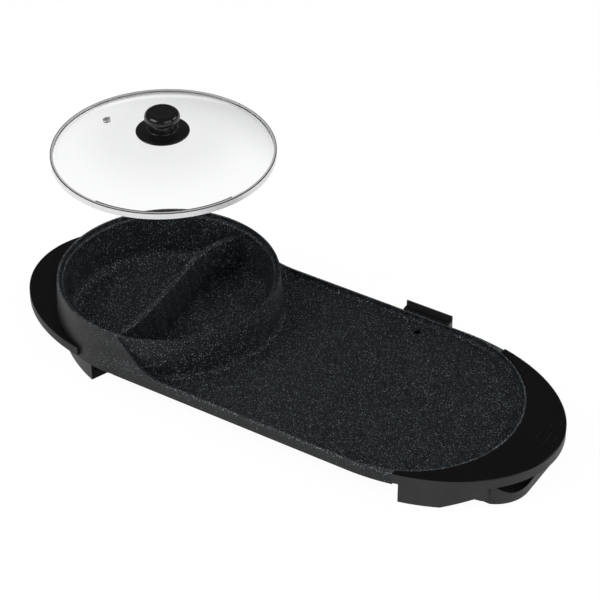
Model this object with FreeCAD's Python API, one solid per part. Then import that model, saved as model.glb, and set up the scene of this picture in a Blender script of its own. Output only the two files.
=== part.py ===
"""Countertop cooker: a divided round hot pot and a long griddle in one pan, with a glass lid and a drip tray.

Lengths are millimetres and +Z is up. While the pieces are made, X = 0, Y = 0 is the axis of the pot, +X runs
along the griddle to the control end, and Z = 0 is the table. The pieces are moved on export, so that the
origin is the middle of the underside of the whole object's box.
"""
import FreeCAD, Part
import math
import os
from FreeCAD import Vector

# ---------------------------------------------------------------- driving dimensions
# Pan
GRIDDLE_LENGTH = 330.0      # pot axis to the centre of the griddle's round end
POT_DRAFT = 3.6             # pot rim inside the skirt's foot
SKIRT_R = 136.6             # outer radius of the pan at the foot of its skirt
RIM_Z = 39.2                # griddle rim above the table
SKIRT_HEIGHT = 14.3         # griddle rim down to the foot of the skirt
POT_RISE = 43.4             # griddle rim up to the pot rim
RIM_BEVEL = 1.2             # bevel round the griddle's outer top edge
RIM_LIP = 3.4               # width of the griddle's flat rim
GRIDDLE_DEPTH = 8.0
GRIDDLE_FLOOR = 4.0         # thickness of the griddle's floor
COVE_R = 6.0                # cove between the griddle's floor and its rim
COLLAR_WIDTH = 8.0          # foot of the pot's wall on the griddle floor
COLLAR_RISE = 8.0           # height of the cove on that foot
COLLAR_START = 33.0         # cove's ends, right of the crease's start and under its filled corner
GUSSET_START = 12.0         # where the side crease leaves the pot rim
GUSSET_ANGLE = 47.0         # slope of the side crease
GUSSET_TOP_R = 15.0
GUSSET_TOE_R = 60.0
GUSSET_FALL = 26.0          # how steeply the filled corner falls inwards from the crease
GUSSET_DEPTH = 40.0
GUSSET_RAMP = 18.0          # run of the ramp from the crease's foot down to the griddle
SKIRT_OVERHANG = 10.0       # solid stretch between the crease's start and the hollow under the griddle
DRAIN_DISH = 1.6            # depth of the dish round the drain
DRAIN_DISH_WIDTH = 4.0
# Pot
LEDGE_DEPTH = 4.0           # pot rim down to the lid's seat
LIP_THICKNESS = 2.5         # rim wall outside the lid
LIP_ROUND = 0.7             # rounding of the rim's two top edges
LEDGE_WIDTH = 4.5           # the lid's seat
LEDGE_ROUND = 1.2
GROOVE_DROP = 6.0           # lid's seat down to the top of the hollow behind the wall
POT_FLOOR_Z = 19.0          # inside floor above the table
POT_LEAN = 4.0              # the floor's edge inside the lid seat's
POT_FLOOR_THICKNESS = 4.0
POT_CORNER_R = 13.0
POT_WALL = 4.0
SKIRT_WALL = 3.2
# Divider
DIVIDER_DROP = 12.0         # pot rim down to the divider's top
DIVIDER_TOP = 8.0           # thickness at the top
DIVIDER_FOOT = 10.0         # thickness at the floor
DIVIDER_EDGE_R = 2.4
DIVIDER_LINE = (
    (24.0, 128.0), (4.5, 92.0), (0.0, 55.0), (5.0, 8.0), (10.0, -38.0), (12.5, -78.0), (4.0, -130.0),
)
# Ends
PANEL_DEPTH = 53.4          # control end beyond the pan
HANDLE_DEPTH = 47.4         # left end beyond the pan
END_SIDE = 0.4              # both ends beyond the pan's straight sides
EAR_LENGTH = 55.0           # griddle's round end centre to the front of the control housing
HOUSING_HEIGHT = 13.0
PANEL_PROUD = 0.9           # control panel above the griddle rim
PANEL_THICKNESS = 2.0
PANEL_MARGIN = 0.8          # housing edge that shows round the panel
HANDLE_HEIGHT = 11.5
HANDLE_PROUD = 1.3
HANDLE_TIP_X = 40.0         # how far left of the pot axis the handle's tips end
SHELL_WALL = 2.6            # moulded walls
HANDLE_TIP_WALL = 12.0      # solid stretch at the handle's tips
HOUSING_TIP_WALL = 14.0
HOUSING_SIDE = 3.6          # side wall of the control housing, with the panel's step
RIB_SHORT = 1.5             # handle ribs above its open edge
RIB = 2.2
EDGE_R = 1.2                # rounding of the handle's top edge
PANEL_GAP = 0.15            # seam round the control panel
LUG_OUT = 9.4               # screws of the ears that carry both ends, outside the skirt
LUG_WIDTH = 10.0
LUG_HEIGHT = 3.0
LUG_ROOT = 2.5              # how far a lug reaches into the skirt
LUG_SCREW = 9.0             # shank of the screws through the handle's lugs
LUG_DEEP = 0.5              # lugs above the handle's open edge
POST_R = 4.5                # moulded screw posts
BOARD_POST = 3.5            # radius of the posts that carry a board
POST_HEIGHT = 8.0
HANDLE_LUGS = (150.0, 180.0, 210.0)
HANDLE_RIBS = (135.0, 165.0, 195.0, 225.0)
HOUSING_LUGS = (-30.0, 0.0, 30.0)
# Legs and base
LEG_CLEARANCE = 0.8         # leg soles above the table, held up by the rubber pads
LEG_BLOCK_HEIGHT = 11.4
LEFT_LEG_X = 21.0           # end faces of the left legs, left of the pot axis
LEFT_LEG_CENTRE = (51.8, 66.2)      # centre of the front left leg's outer face
LEFT_LEG_OUT = 75.8         # radius of that face beyond the pan's
LEFT_LEG_SWEEP = 20.0       # degrees about that centre
LEFT_LEG_WEB = 4.0
LEFT_LEG_DEPTH = 34.0
LEFT_LEG_SEATS = (0.25, 0.75)       # screws, as shares of the sweep
LEFT_LEG_SEAT_INSET = 9.5   # screws outside the leg's inner face
RIGHT_LEG_X = 61.5          # right legs' front faces, right of the griddle's round end centre
RIGHT_LEG_INSET = 1.0
RIGHT_LEG_WALL = 3.0
RIGHT_LEG_SOLE = 22.0       # depth of the sole
SOLE_HEIGHT = 3.0
RIGHT_LEG_SHORT = 40.7      # where the right legs stop, before the control end
LEG_SEAM = 0.5
LEG_SCREW_SEAT = 6.0        # screw heads above the table
LEG_SCREW_X = 101.0         # screw through each right leg, beyond the griddle's round end centre
LEG_SCREW_INSET = 11.5      # inside the control end's outline
FRONT_SCREW_X = 82.0        # second screw of the front right leg
FRONT_SCREW_INSET = 7.6
ARCH_START = 84.0           # where the sole ends and the lower edge rises, before the control end
ARCH_TOP = 52.0
ARCH_HEIGHT = 12.4
TOOTH_START = 45.0
TOOTH_HEIGHT = 8.6
BASE_SHORT = 13.4           # control base's end, before the control end
BASE_END_HALF = 81.5
BASE_CORNER_R = 44.0
BASE_LENGTH = 72.6          # back wall of the control base to its end
BASE_HALF_WIDTH = 78.0
GRIP_RAMP_TOP = 38.0        # finger recess under the control housing, before its end
GRIP_RAMP_FOOT = 20.0
GRIP_FLOOR_Z = 13.0
BASE_SCREW_SHORT = 46.0     # screws that hold the control base to the housing
BASE_SCREW_Y = (-58.0, -24.0, 24.0, 58.0)
BASE_SHEET = 1.6
BASE_PLATE_RISE = 0.4       # bottom plate above the base's lower edge
VENT_COUNT = 4
VENT_PITCH = 7.0
VENT_WIDTH = 3.0
VENT_HALF = 26.0
PAD_R = 7.0
PAD_SHIFT = 8.0             # right pads nearer the sole's far end
PAD_HEIGHT = 2.6
# Underside
COVER_SHEET = 0.8
COVER_START = 5.4           # base cover's left edge beyond the pot's skirt
COVER_GAP = 0.5             # between the base cover and the control base
COVER_RIM = 8.0             # its rim outside its side walls
COVER_CORNER_R = 12.0
DUCT_HALF = 18.0            # wire duct between the two covers
COVER_BOTTOM_Z = 9.0
COVER_SLOTS = 8
COVER_SLOT_HALF = 36.0
COVER_SCREW_INSET = 8.0     # outer screws beyond the cover's rounded corners
POT_COVER_INSET = 25.0      # cover's flange inside the pot floor's edge
POT_COVER_FLANGE = 9.0
POT_SLOT_RINGS = ((28.0, 6), (48.0, 10))    # start radius and count of each ring of vent slots
POT_SLOT_LENGTH = 14.0
POT_SCREW_ANGLES = (60.0, 180.0, 300.0)
POT_COVER_Z = 5.0
HEATER_R = 3.3
POT_HEATER_INSET = 19.0     # ring heater inside the cover's flange
GRIDDLE_HEATER_HALF = 58.0
GRIDDLE_HEATER_BEND = 20.0
HEATER_END = 14.0           # heater's ends short of the cover's end, and off the middle
HEATER_GAP = 30.0           # degrees left open in the pot's ring heater
BEAD_LENGTH = 9.0
CLIP_SHEET = 1.0
CLIP_REACH = 9.0
CLIP_WIDTH = 8.0
THERMOSTAT_R = 13.0
THERMOSTAT_BODY_R = 8.5
THERMOSTAT_HEIGHT = 6.0
TERMINAL_TAB = (0.8, 4.0, 2.6)      # thickness, width and length
TAB_Y = 4.5
FUSE_R = 2.3
FUSE_LENGTH = 14.0
FUSE_X = 75.0               # beyond the base cover's left edge
FUSE_Y = 20.0
FUSE_SADDLE = (4.0, 6.0)    # saddle's length and width
SCREW_R = 1.6
SCREW_HEAD_R = 3.2
SCREW_HEAD = 1.8
SCREW_PLAY = 0.1
PILOT_DEPTH = 3.4           # blind screw holes in the cast pan
HEAD_PLAY = 0.3             # round a sunk screw head
# Drip tray
TRAY_X = 275.7
TRAY_WIDTH = 62.0
TRAY_LENGTH = 54.4
TRAY_OUT = 9.8              # tray's outer face beyond the pan's side
TRAY_WALL = 1.8
TRAY_BOTTOM_Z = 11.0
TRAY_GRIP = 7.1             # outer wall above the griddle rim
TRAY_SKIRT_GAP = 0.6
TRAY_CLEARANCE = 0.25
TRAY_LIP = 3.5
LIP_SHEET = 1.2
TRAY_CORNER_R = 5.0
TRAY_EDGE_R = 0.5
RUNNER_FLANGE = 8.0
RUNNER_SHEET = 1.0
DRAIN_R = 4.5
DRAIN_INSET = 19.6          # drain's centre inside the pan's side
# Lid
LID_PLAY = 0.5              # round the lid in the pot's rim
LID_LIFT = 171.6            # the lid's seat up to the raised lid
LID_BAND = 7.8
LID_STEEL = 0.6
LID_FOLD = 3.2
LID_RETURN = 0.2            # the band's inner return outside its top fold
LID_FLAT = 5.5              # width of the glass's flat edge
LID_RISE = 26.0
LID_GLASS = 4.0
VENT_R = 4.6
VENT_BORE = 2.0
VENT_WALL = 1.0
VENT_OFFSET = 77.5
VENT_TURN = 182.0
KNOB_FLANGE_R = 31.1
KNOB_HOLE_R = 1.9
KNOB_BASE_HEIGHT = 5.0
KNOB_BORE = 13.0            # screw hole up into the knob
KNOB_WASHER_R = 8.0
KNOB_WASHER = 1.2
KNOB_WASHER_GAP = 0.12      # sealing ring's room between the washer and the glass
KNOB_NECK_R = 16.3
KNOB_NECK = 8.0
KNOB_COLLAR = 1.1           # base outside the neck
KNOB_CAP_R = 20.9
KNOB_CAP = 13.1
KNOB_TOP_R = 14.6
# Electrics
BOARD = 1.6
BOARD_INSET = 12.0          # touch board inside the housing's outline
BOARD_GAP = 16.4            # touch board outside the skirt
BOARD_HALF = 52.0
BOARD_RISE = 6.0            # touch board above the housing's underside
BOARD_POST_IN = 5.0         # posts in from the touch board's inner edge
BOARD_POST_ANGLES = (-18.0, 18.0)
TOUCH_IN = 8.0              # touch springs in from that edge
TOUCH_ANGLES = (-16.0, -8.0, 0.0, 8.0, 16.0)
SPRING_R = 3.0
SPRING_WALL = 1.0
POWER_BOARD_Z = 9.0
POWER_BOARD_BACK = 4.5      # power board in from the control base's back wall
POWER_BOARD_WIDTH = 29.5
POWER_BOARD_HALF = 62.0
INLET_X = 82.0              # inlet centre, beyond the griddle's round end centre
INLET_INSET = 15.0          # inlet's face inside the control end's widest line
INLET_WIDTH = 27.0
INLET_HEIGHT = 19.0
INLET_DEPTH = 24.0
INLET_WALL = 1.8
INLET_FLANGE = 2.0          # flange beyond the socket's sides
INLET_FLANGE_SHEET = 1.4
INLET_FLAT = 4.0            # thickness of the leg's flat round the socket
INLET_FLAT_SIDE = 5.0       # flat beyond the socket's sides
INLET_BACK = 5.0            # thickness of the socket's back wall
INLET_PIN = (2.0, 4.0)      # pin's width and height
INLET_PIN_TAIL = 5.0        # pins behind the socket
INLET_PIN_SINK = 4.0        # pins' tips behind the socket's face
INLET_PIN_PITCH = 7.0
INLET_PIN_DROP = 1.5        # outer pins below the socket's middle
INLET_EARTH_RISE = 2.5
BOARD_EDGE = 5.0            # power board's posts in from its edges
RELAY = (19.0, 15.0, 10.0)  # length, width and height
RELAY_Y = (-30.0, 30.0)
TERMINAL_INSET = 7.5        # first terminal in from the power board's edge
TERMINAL_PITCH = 6.0
TERMINAL_SIDE = 4.0
TERMINAL_LENGTH = 10.0
TERMINAL_HEIGHT = 9.0
LEAD_R = 1.4
LEAD_BEND = 4.0
LEAD_HOLE_R = 3.0
LEAD_HOLE_SHORT = 50.0      # way up into the housing, before the control end
LEAD_HOLE_Y = 40.0
LEAD_WINDOW_HALF = 11.0
LEAD_WINDOW_LOW = 10.0
LEAD_WINDOW_HIGH = 20.0

# ---------------------------------------------------------------- worked out from them
POT_RIM_R = SKIRT_R - POT_DRAFT
PANEL_REACH = SKIRT_R + PANEL_DEPTH
HANDLE_REACH = SKIRT_R + HANDLE_DEPTH
END_HALF_WIDTH = SKIRT_R + END_SIDE
LUG_R = SKIRT_R + LUG_OUT
LEFT_LEG_R = SKIRT_R + LEFT_LEG_OUT
RIGHT_LEG_END = PANEL_REACH - RIGHT_LEG_SHORT
BASE_END = PANEL_REACH - BASE_SHORT
BASE_BACK = BASE_END - BASE_LENGTH
COVER_RIGHT = BASE_BACK - COVER_GAP
COVER_LEFT = SKIRT_R + COVER_START
COVER_HALF_WIDTH = BASE_HALF_WIDTH
COVER_WALL_Y = COVER_HALF_WIDTH - COVER_RIM
POWER_BOARD_X = BASE_BACK + POWER_BOARD_BACK
LEAD_HOLE_X = PANEL_REACH - LEAD_HOLE_SHORT
TRAY_OUTER_Y = SKIRT_R + TRAY_OUT
TRAY_INNER_Y = TRAY_OUTER_Y - TRAY_LENGTH
DRAIN_Y = SKIRT_R - DRAIN_INSET
INLET_FACE_Y = END_HALF_WIDTH - INLET_INSET
BOARD_INNER_R = SKIRT_R + BOARD_GAP
BOARD_POST_R = BOARD_INNER_R + BOARD_POST_IN
TOUCH_R = BOARD_INNER_R + TOUCH_IN
SKIRT_Z = RIM_Z - SKIRT_HEIGHT
POT_RIM_Z = RIM_Z + POT_RISE
GRIDDLE_TOP = RIM_Z - GRIDDLE_DEPTH
GRIDDLE_UNDER = GRIDDLE_TOP - GRIDDLE_FLOOR
POT_UNDER = POT_FLOOR_Z - POT_FLOOR_THICKNESS
LEDGE_Z = POT_RIM_Z - LEDGE_DEPTH
LEDGE_OUTER_R = POT_RIM_R - LIP_THICKNESS
LEDGE_INNER_R = LEDGE_OUTER_R - LEDGE_WIDTH
POT_FLOOR_R = LEDGE_INNER_R - POT_LEAN
POT_COVER_R = POT_FLOOR_R - POT_COVER_INSET
POT_HEATER_RING = POT_COVER_R - POT_HEATER_INSET
LID_R = LEDGE_OUTER_R - LID_PLAY
LID_DOME_R = LID_R - LID_FLAT
COLLAR_R = SKIRT_R + COLLAR_WIDTH
PANEL_TOP = RIM_Z + PANEL_PROUD
HOUSING_BOTTOM = PANEL_TOP - HOUSING_HEIGHT
HANDLE_TOP = RIM_Z + HANDLE_PROUD
HANDLE_BOTTOM = HANDLE_TOP - HANDLE_HEIGHT
EAR_X = GRIDDLE_LENGTH + EAR_LENGTH
LID_Z = LEDGE_Z + LID_LIFT + LID_BAND        # top of the raised lid's steel band
GLASS_EDGE_Z = LID_Z - LID_STEEL
LID_SPHERE = (LID_DOME_R ** 2 + LID_RISE ** 2) / (2 * LID_RISE)
LID_APEX = GLASS_EDGE_Z + LID_RISE
LUG_TOP = HANDLE_BOTTOM + LUG_DEEP + LUG_HEIGHT
HOUSING_LUG_TOP = HOUSING_BOTTOM + POST_HEIGHT + LUG_HEIGHT
BOARD_Z = HOUSING_BOTTOM + BOARD_RISE
BASE_PLATE_TOP = LEG_CLEARANCE + BASE_PLATE_RISE + BASE_SHEET
BASE_SCREWS = [(GRIDDLE_LENGTH + PANEL_REACH - BASE_SCREW_SHORT, y) for y in BASE_SCREW_Y]
BIG = 1000.0

pieces = {}


# ---------------------------------------------------------------- helpers
def skirt_radius(z):
    """Outer half width of the pan at height z: its sides lean in from the skirt's foot to the pot rim."""
    return SKIRT_R - (SKIRT_R - POT_RIM_R) * (z - SKIRT_Z) / (POT_RIM_Z - SKIRT_Z)


def rounded_loop(corners, place):
    """Closed wire through corners (a, b) or (a, b, radius), each radius a tangent arc."""
    count = len(corners)
    points = [Vector(c[0], c[1], 0) for c in corners]
    radii = [c[2] if len(c) > 2 else 0.0 for c in corners]
    starts, middles, ends = [], [], []
    for i in range(count):
        p = points[i]
        if radii[i] == 0.0:
            starts.append(p)
            middles.append(None)
            ends.append(p)
            continue
        u = (points[i - 1] - p).normalize()
        w = (points[(i + 1) % count] - p).normalize()
        half = u.getAngle(w) / 2
        reach = radii[i] / math.tan(half)
        inward = (u + w).normalize()
        centre = p + inward * (radii[i] / math.sin(half))
        starts.append(p + u * reach)
        middles.append(centre - inward * radii[i])
        ends.append(p + w * reach)
    edges = []
    for i in range(count):
        if middles[i] is not None:
            arc = (starts[i], middles[i], ends[i])
            edges.append(Part.Arc(*[place(v.x, v.y) for v in arc]).toShape())
        a = ends[i]
        b = starts[(i + 1) % count]
        if (b - a).Length > 1e-6:
            edges.append(Part.LineSegment(place(a.x, a.y), place(b.x, b.y)).toShape())
    return Part.Wire(edges)


def slab(corners, z_low, z_high):
    """Upright prism on a plan outline."""
    face = Part.Face(rounded_loop(corners, lambda a, b: Vector(a, b, z_low)))
    return face.extrude(Vector(0, 0, z_high - z_low))


def profile_bar(corners, y_low, y_high):
    """Prism along Y on an outline given as (x, z)."""
    face = Part.Face(rounded_loop(corners, lambda a, b: Vector(a, y_low, b)))
    return face.extrude(Vector(0, y_high - y_low, 0))


def turned(corners, x=0.0, y=0.0, sweep=360.0, start=0.0):
    """Solid of revolution about an upright axis, on an outline given as (radius, z)."""
    face = Part.Face(rounded_loop(corners, lambda a, b: Vector(a, 0, b)))
    solid = face.revolve(Vector(0, 0, 0), Vector(0, 0, 1), sweep)
    solid.rotate(Vector(0, 0, 0), Vector(0, 0, 1), start)
    solid.translate(Vector(x, y, 0))
    return solid


def disc(radius, z_low, z_high, x=0.0, y=0.0):
    return Part.makeCylinder(radius, z_high - z_low, Vector(x, y, z_low))


def block(x_low, x_high, y_low, y_high, z_low, z_high):
    return Part.makeBox(x_high - x_low, y_high - y_low, z_high - z_low, Vector(x_low, y_low, z_low))


def mirrored(shape):
    """The same piece on the other side of the object's middle plane."""
    return shape.mirror(Vector(0, 0, 0), Vector(0, 1, 0))


def both_sides(shape):
    return [shape, mirrored(shape)]


def joined(shapes):
    shape = shapes[0]
    for other in shapes[1:]:
        shape = shape.fuse(other)
    return shape.removeSplitter()


def control_end_y(x):
    """Half width of the control end's outline at x, from the griddle's round end centre."""
    return END_HALF_WIDTH * math.sqrt(1 - (x / PANEL_REACH) ** 2)


def half_oval(centre_x, side, reach, half_width, z_low, z_high):
    """Half an oval, closed by a straight edge through its centre; side is 1 to the right, -1 to the left."""
    oval = Part.Ellipse(Vector(centre_x, 0, z_low), reach, half_width)
    start = -math.pi / 2 if side > 0 else math.pi / 2
    arc = Part.ArcOfEllipse(oval, start, start + math.pi).toShape()
    tips = [v.Point for v in arc.Vertexes]
    wire = Part.Wire([arc, Part.LineSegment(tips[1], tips[0]).toShape()])
    return Part.Face(wire).extrude(Vector(0, 0, z_high - z_low))


def control_end(inset, z_low, z_high):
    """The control end's outline, inset by that much, beyond the pan's ears."""
    oval = half_oval(GRIDDLE_LENGTH, 1, PANEL_REACH - inset, END_HALF_WIDTH - inset, z_low, z_high)
    return oval.common(block(EAR_X + inset, BIG, -BIG, BIG, z_low, z_high))


def tube(points, radius, bend):
    """Round bar along straight runs with arcs of one radius between them."""
    runs = [Vector(*p) for p in points]
    edges = []
    last = runs[0]
    for i in range(1, len(runs) - 1):
        u = (runs[i - 1] - runs[i]).normalize()
        w = (runs[i + 1] - runs[i]).normalize()
        half = u.getAngle(w) / 2
        reach = bend / math.tan(half)
        inward = (u + w).normalize()
        middle = runs[i] + inward * (bend / math.sin(half) - bend)
        first = runs[i] + u * reach
        second = runs[i] + w * reach
        edges.append(Part.LineSegment(last, first).toShape())
        edges.append(Part.Arc(first, middle, second).toShape())
        last = second
    edges.append(Part.LineSegment(last, runs[-1]).toShape())
    path = Part.Wire(edges)
    ring = Part.Wire([Part.makeCircle(radius, runs[0], runs[1] - runs[0])])
    return path.makePipeShell([ring], True, True)


def screw(x, y, z, length, up=True):
    """Pan-head screw whose head seats at z; its shank runs up, or down."""
    sign = 1 if up else -1
    shank = [(0, 0), (SCREW_HEAD_R, 0), (SCREW_HEAD_R, -SCREW_HEAD), (0, -SCREW_HEAD)]
    head = turned([(r, h * sign) for r, h in shank])
    body = turned([(0, 0), (SCREW_R, 0), (SCREW_R, length * sign), (0, length * sign)])
    piece = head.fuse(body).removeSplitter()
    piece.translate(Vector(x, y, z))
    return piece


def screw_way(x, y, z_low, seat):
    """Countersunk way for a screw: its head's pocket up to the seat, and its shank's hole beyond."""
    head = disc(SCREW_HEAD_R + HEAD_PLAY, z_low, seat, x, y)
    return head.fuse(disc(SCREW_R + SCREW_PLAY, z_low, BIG, x, y))


def add(name, shape):
    """Keep one sub-part; a list is a group of separate solids."""
    if isinstance(shape, list):
        solids = [s for item in shape for s in item.Solids]
    else:
        solids = shape.Solids
    pieces[name] = solids[0] if len(solids) == 1 else Part.makeCompound(solids)


# ---------------------------------------------------------------- pan
def pot_body():
    """The pot: ledge for the lid, drafted inside, hollow skirt outside."""
    wall_out = POT_FLOOR_R + POT_WALL
    groove_top = LEDGE_Z - GROOVE_DROP
    ledge_out = skirt_radius(groove_top) - SKIRT_WALL
    return turned([
        (0, POT_FLOOR_Z), (POT_FLOOR_R, POT_FLOOR_Z, POT_CORNER_R), (LEDGE_INNER_R, LEDGE_Z, LEDGE_ROUND),
        (LEDGE_OUTER_R, LEDGE_Z), (LEDGE_OUTER_R, POT_RIM_Z, LIP_ROUND), (POT_RIM_R, POT_RIM_Z, LIP_ROUND),
        (SKIRT_R, SKIRT_Z), (SKIRT_R - SKIRT_WALL, SKIRT_Z), (ledge_out, groove_top),
        (LEDGE_INNER_R + POT_WALL / 2, groove_top), (wall_out, POT_UNDER, POT_CORNER_R + POT_WALL / 2),
        (0, POT_UNDER),
    ])


def pot_solid():
    """Everything inside the pot's outer surface, to cut its neighbours with."""
    return turned([(0, -1), (SKIRT_R, -1), (SKIRT_R, SKIRT_Z), (POT_RIM_R, POT_RIM_Z), (0, POT_RIM_Z)])


def collar():
    """Foot of the pot's wall where it meets the griddle floor, with its cove, out to the pan's side walls."""
    wall = skirt_radius(GRIDDLE_TOP)
    top = GRIDDLE_TOP + COLLAR_RISE
    side = skirt_radius(RIM_Z) - RIM_LIP
    cove = min(COLLAR_RISE, COLLAR_WIDTH) * 0.8
    ring = turned([
        (wall - 1.0, GRIDDLE_UNDER), (COLLAR_R, GRIDDLE_UNDER), (COLLAR_R, GRIDDLE_TOP),
        (wall, GRIDDLE_TOP, cove), (skirt_radius(top), top), (wall - 1.0, top),
    ])
    return ring.common(block(GUSSET_START + COLLAR_START, BIG, -side, side, 0, BIG))


def pot_cavity():
    wall = [(POT_FLOOR_R, POT_FLOOR_Z, POT_CORNER_R), (LEDGE_INNER_R, LEDGE_Z)]
    return turned([(0, POT_FLOOR_Z)] + wall + [(0, LEDGE_Z)])


def divider():
    """Curved wall that parts the two broths, thicker at its foot."""
    top = POT_RIM_Z - DIVIDER_DROP
    line = Part.BSplineCurve()
    line.interpolate([Vector(x, y, 0) for x, y in DIVIDER_LINE])

    def outline(thickness, z):
        sides = []
        steps = 2 * (len(DIVIDER_LINE) - 1)
        for sign in (1, -1):
            points = []
            for i in range(steps + 1):
                u = line.FirstParameter + (line.LastParameter - line.FirstParameter) * i / steps
                t = line.tangent(u)[0]
                p = line.value(u) + Vector(-t.y, t.x, 0) * (sign * thickness / 2)
                points.append(Vector(p.x, p.y, z))
            side = Part.BSplineCurve()
            side.interpolate(points if sign > 0 else points[::-1])
            sides.append(side.toShape())
        caps = [Part.LineSegment(sides[i].lastVertex().Point, sides[1 - i].firstVertex().Point).toShape()
                for i in (0, 1)]
        return Part.Wire([sides[0], caps[0], sides[1], caps[1]])

    wall = Part.makeLoft([outline(DIVIDER_FOOT, POT_FLOOR_Z - 1), outline(DIVIDER_TOP, top)], True, True)
    long_edges = [e for e in wall.Edges if e.BoundBox.ZMin > top - 0.1 and e.Length > 50]
    wall = wall.makeFillet(DIVIDER_EDGE_R, long_edges)
    return wall.common(pot_cavity())


def pan_outline(z, inset):
    """Griddle outline at height z: straight sides, ears beside the control end, round end."""
    half = skirt_radius(z) - inset
    back = GUSSET_START
    reach = PANEL_REACH - inset
    ear_x = EAR_X - inset
    oval = Part.Ellipse(Vector(GRIDDLE_LENGTH, 0, z), reach, half)
    turn = math.acos((ear_x - GRIDDLE_LENGTH) / reach)
    ear_y = half * math.sin(turn)
    end_y = math.sqrt(half ** 2 - (ear_x - GRIDDLE_LENGTH) ** 2)

    def at(x, y):
        return Vector(x, y, z)

    end = Part.Arc(at(ear_x, -end_y), at(GRIDDLE_LENGTH + half, 0), at(ear_x, end_y))
    return Part.Wire([
        Part.LineSegment(at(back, half), at(back, -half)).toShape(),
        Part.LineSegment(at(back, -half), at(GRIDDLE_LENGTH, -half)).toShape(),
        Part.ArcOfEllipse(oval, -math.pi / 2, -turn).toShape(),
        Part.LineSegment(at(ear_x, -ear_y), at(ear_x, -end_y)).toShape(),
        end.toShape(),
        Part.LineSegment(at(ear_x, end_y), at(ear_x, ear_y)).toShape(),
        Part.ArcOfEllipse(oval, turn, math.pi / 2).toShape(),
        Part.LineSegment(at(GRIDDLE_LENGTH, half), at(back, half)).toShape(),
    ])


def griddle_well():
    """The cooking hollow, from the pot to the round end, and the edges of its floor that get a cove."""
    side = skirt_radius(RIM_Z) - RIM_LIP
    far = GRIDDLE_LENGTH
    z = GRIDDLE_TOP

    def at(x, y):
        return Vector(x, y, z)

    wire = Part.Wire([
        Part.LineSegment(at(0, -side), at(far, -side)).toShape(),
        Part.Arc(at(far, -side), at(far + side, 0), at(far, side)).toShape(),
        Part.LineSegment(at(far, side), at(0, side)).toShape(),
        Part.LineSegment(at(0, side), at(0, -side)).toShape(),
    ])
    well = Part.Face(wire).extrude(Vector(0, 0, POT_RIM_Z - z))
    foot = [e for e in well.Edges if e.BoundBox.ZMax < z + 0.01 and e.CenterOfMass.x > 1.0]
    return well, foot


def gusset():
    """Filled corner between the pot and the front side wall, under the crease that runs down from the rim."""
    angle = math.radians(GUSSET_ANGLE)
    top_run = GUSSET_TOP_R * math.tan(angle / 2)
    toe_run = GUSSET_TOE_R * math.tan(angle / 2)
    peak_x = GUSSET_START + top_run
    foot_x = peak_x + POT_RISE / math.tan(angle)
    ramp_x = foot_x + toe_run + 1.0
    far_x = ramp_x + GUSSET_RAMP
    y_low = -SKIRT_R - 1.0
    slope = math.tan(math.radians(GUSSET_FALL))
    crest = rounded_loop([
        (GUSSET_START, 0), (GUSSET_START, POT_RIM_Z), (peak_x, POT_RIM_Z, GUSSET_TOP_R),
        (foot_x, RIM_Z, GUSSET_TOE_R), (ramp_x, RIM_Z), (far_x, GRIDDLE_TOP), (far_x, 0),
    ], lambda a, b: Vector(a, y_low, b + slope))
    prism = Part.Face(crest).extrude(Vector(0, GUSSET_DEPTH, -GUSSET_DEPTH * slope))
    sections = []
    for z in (SKIRT_Z, POT_RIM_Z):
        wall_y = -skirt_radius(z)
        corners = [(GUSSET_START, wall_y), (far_x, wall_y), (far_x, 0), (GUSSET_START, 0)]
        sections.append(rounded_loop(corners, lambda a, b, z=z: Vector(a, b, z)))
    return prism.common(Part.makeLoft(sections, True, True))


def griddle(pot):
    bevel_z = RIM_Z - RIM_BEVEL
    plate = Part.makeLoft([pan_outline(SKIRT_Z, 0), pan_outline(bevel_z, 0)], True, True)
    rim = Part.makeLoft([pan_outline(bevel_z, 0), pan_outline(RIM_Z, RIM_BEVEL * 0.7)], True, True)
    well, foot = griddle_well()
    plate = plate.fuse(rim).cut(well.makeFillet(COVE_R, foot))
    for corner in both_sides(gusset()):
        plate = plate.fuse(corner)
    side = skirt_radius(SKIRT_Z) - SKIRT_WALL
    hollow = block(GUSSET_START + SKIRT_OVERHANG, GRIDDLE_LENGTH, -side, side, 0, GRIDDLE_UNDER)
    hollow = hollow.fuse(disc(side, 0, GRIDDLE_UNDER, GRIDDLE_LENGTH))
    dish_z = GRIDDLE_TOP - DRAIN_DISH
    dish_edge = DRAIN_R + DRAIN_DISH_WIDTH
    dish_line = [(0, dish_z), (DRAIN_R, dish_z), (dish_edge, GRIDDLE_TOP), (0, GRIDDLE_TOP)]
    dish = turned(dish_line, TRAY_X, DRAIN_Y)
    plate = plate.cut(hollow).cut(disc(DRAIN_R, 0, BIG, TRAY_X, DRAIN_Y)).cut(dish)
    return plate.cut(pot).removeSplitter()


# ---------------------------------------------------------------- ends
def polar_block(centre_x, angle, r_low, r_high, width, z_low, z_high):
    """Radial bar at an angle, in degrees from +X, about (centre_x, 0)."""
    bar = block(r_low, r_high, -width / 2, width / 2, z_low, z_high)
    bar.rotate(Vector(0, 0, 0), Vector(0, 0, 1), angle)
    bar.translate(Vector(centre_x, 0, 0))
    return bar


def polar_point(centre_x, angle, r):
    a = math.radians(angle)
    return centre_x + r * math.cos(a), r * math.sin(a)


def lug(centre_x, angle, z_top):
    """Cast ear with a screw hole that carries an end casing."""
    root = SKIRT_R - LUG_ROOT
    bar = polar_block(centre_x, angle, root, LUG_R + LUG_WIDTH / 2, LUG_WIDTH, z_top - LUG_HEIGHT, z_top)
    x, y = polar_point(centre_x, angle, LUG_R)
    return bar.cut(disc(SCREW_R + SCREW_PLAY, 0, BIG, x, y))


def lug_screw(centre_x, angle, z_top):
    x, y = polar_point(centre_x, angle, LUG_R)
    return screw(x, y, z_top - LUG_HEIGHT, LUG_SCREW)


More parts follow.
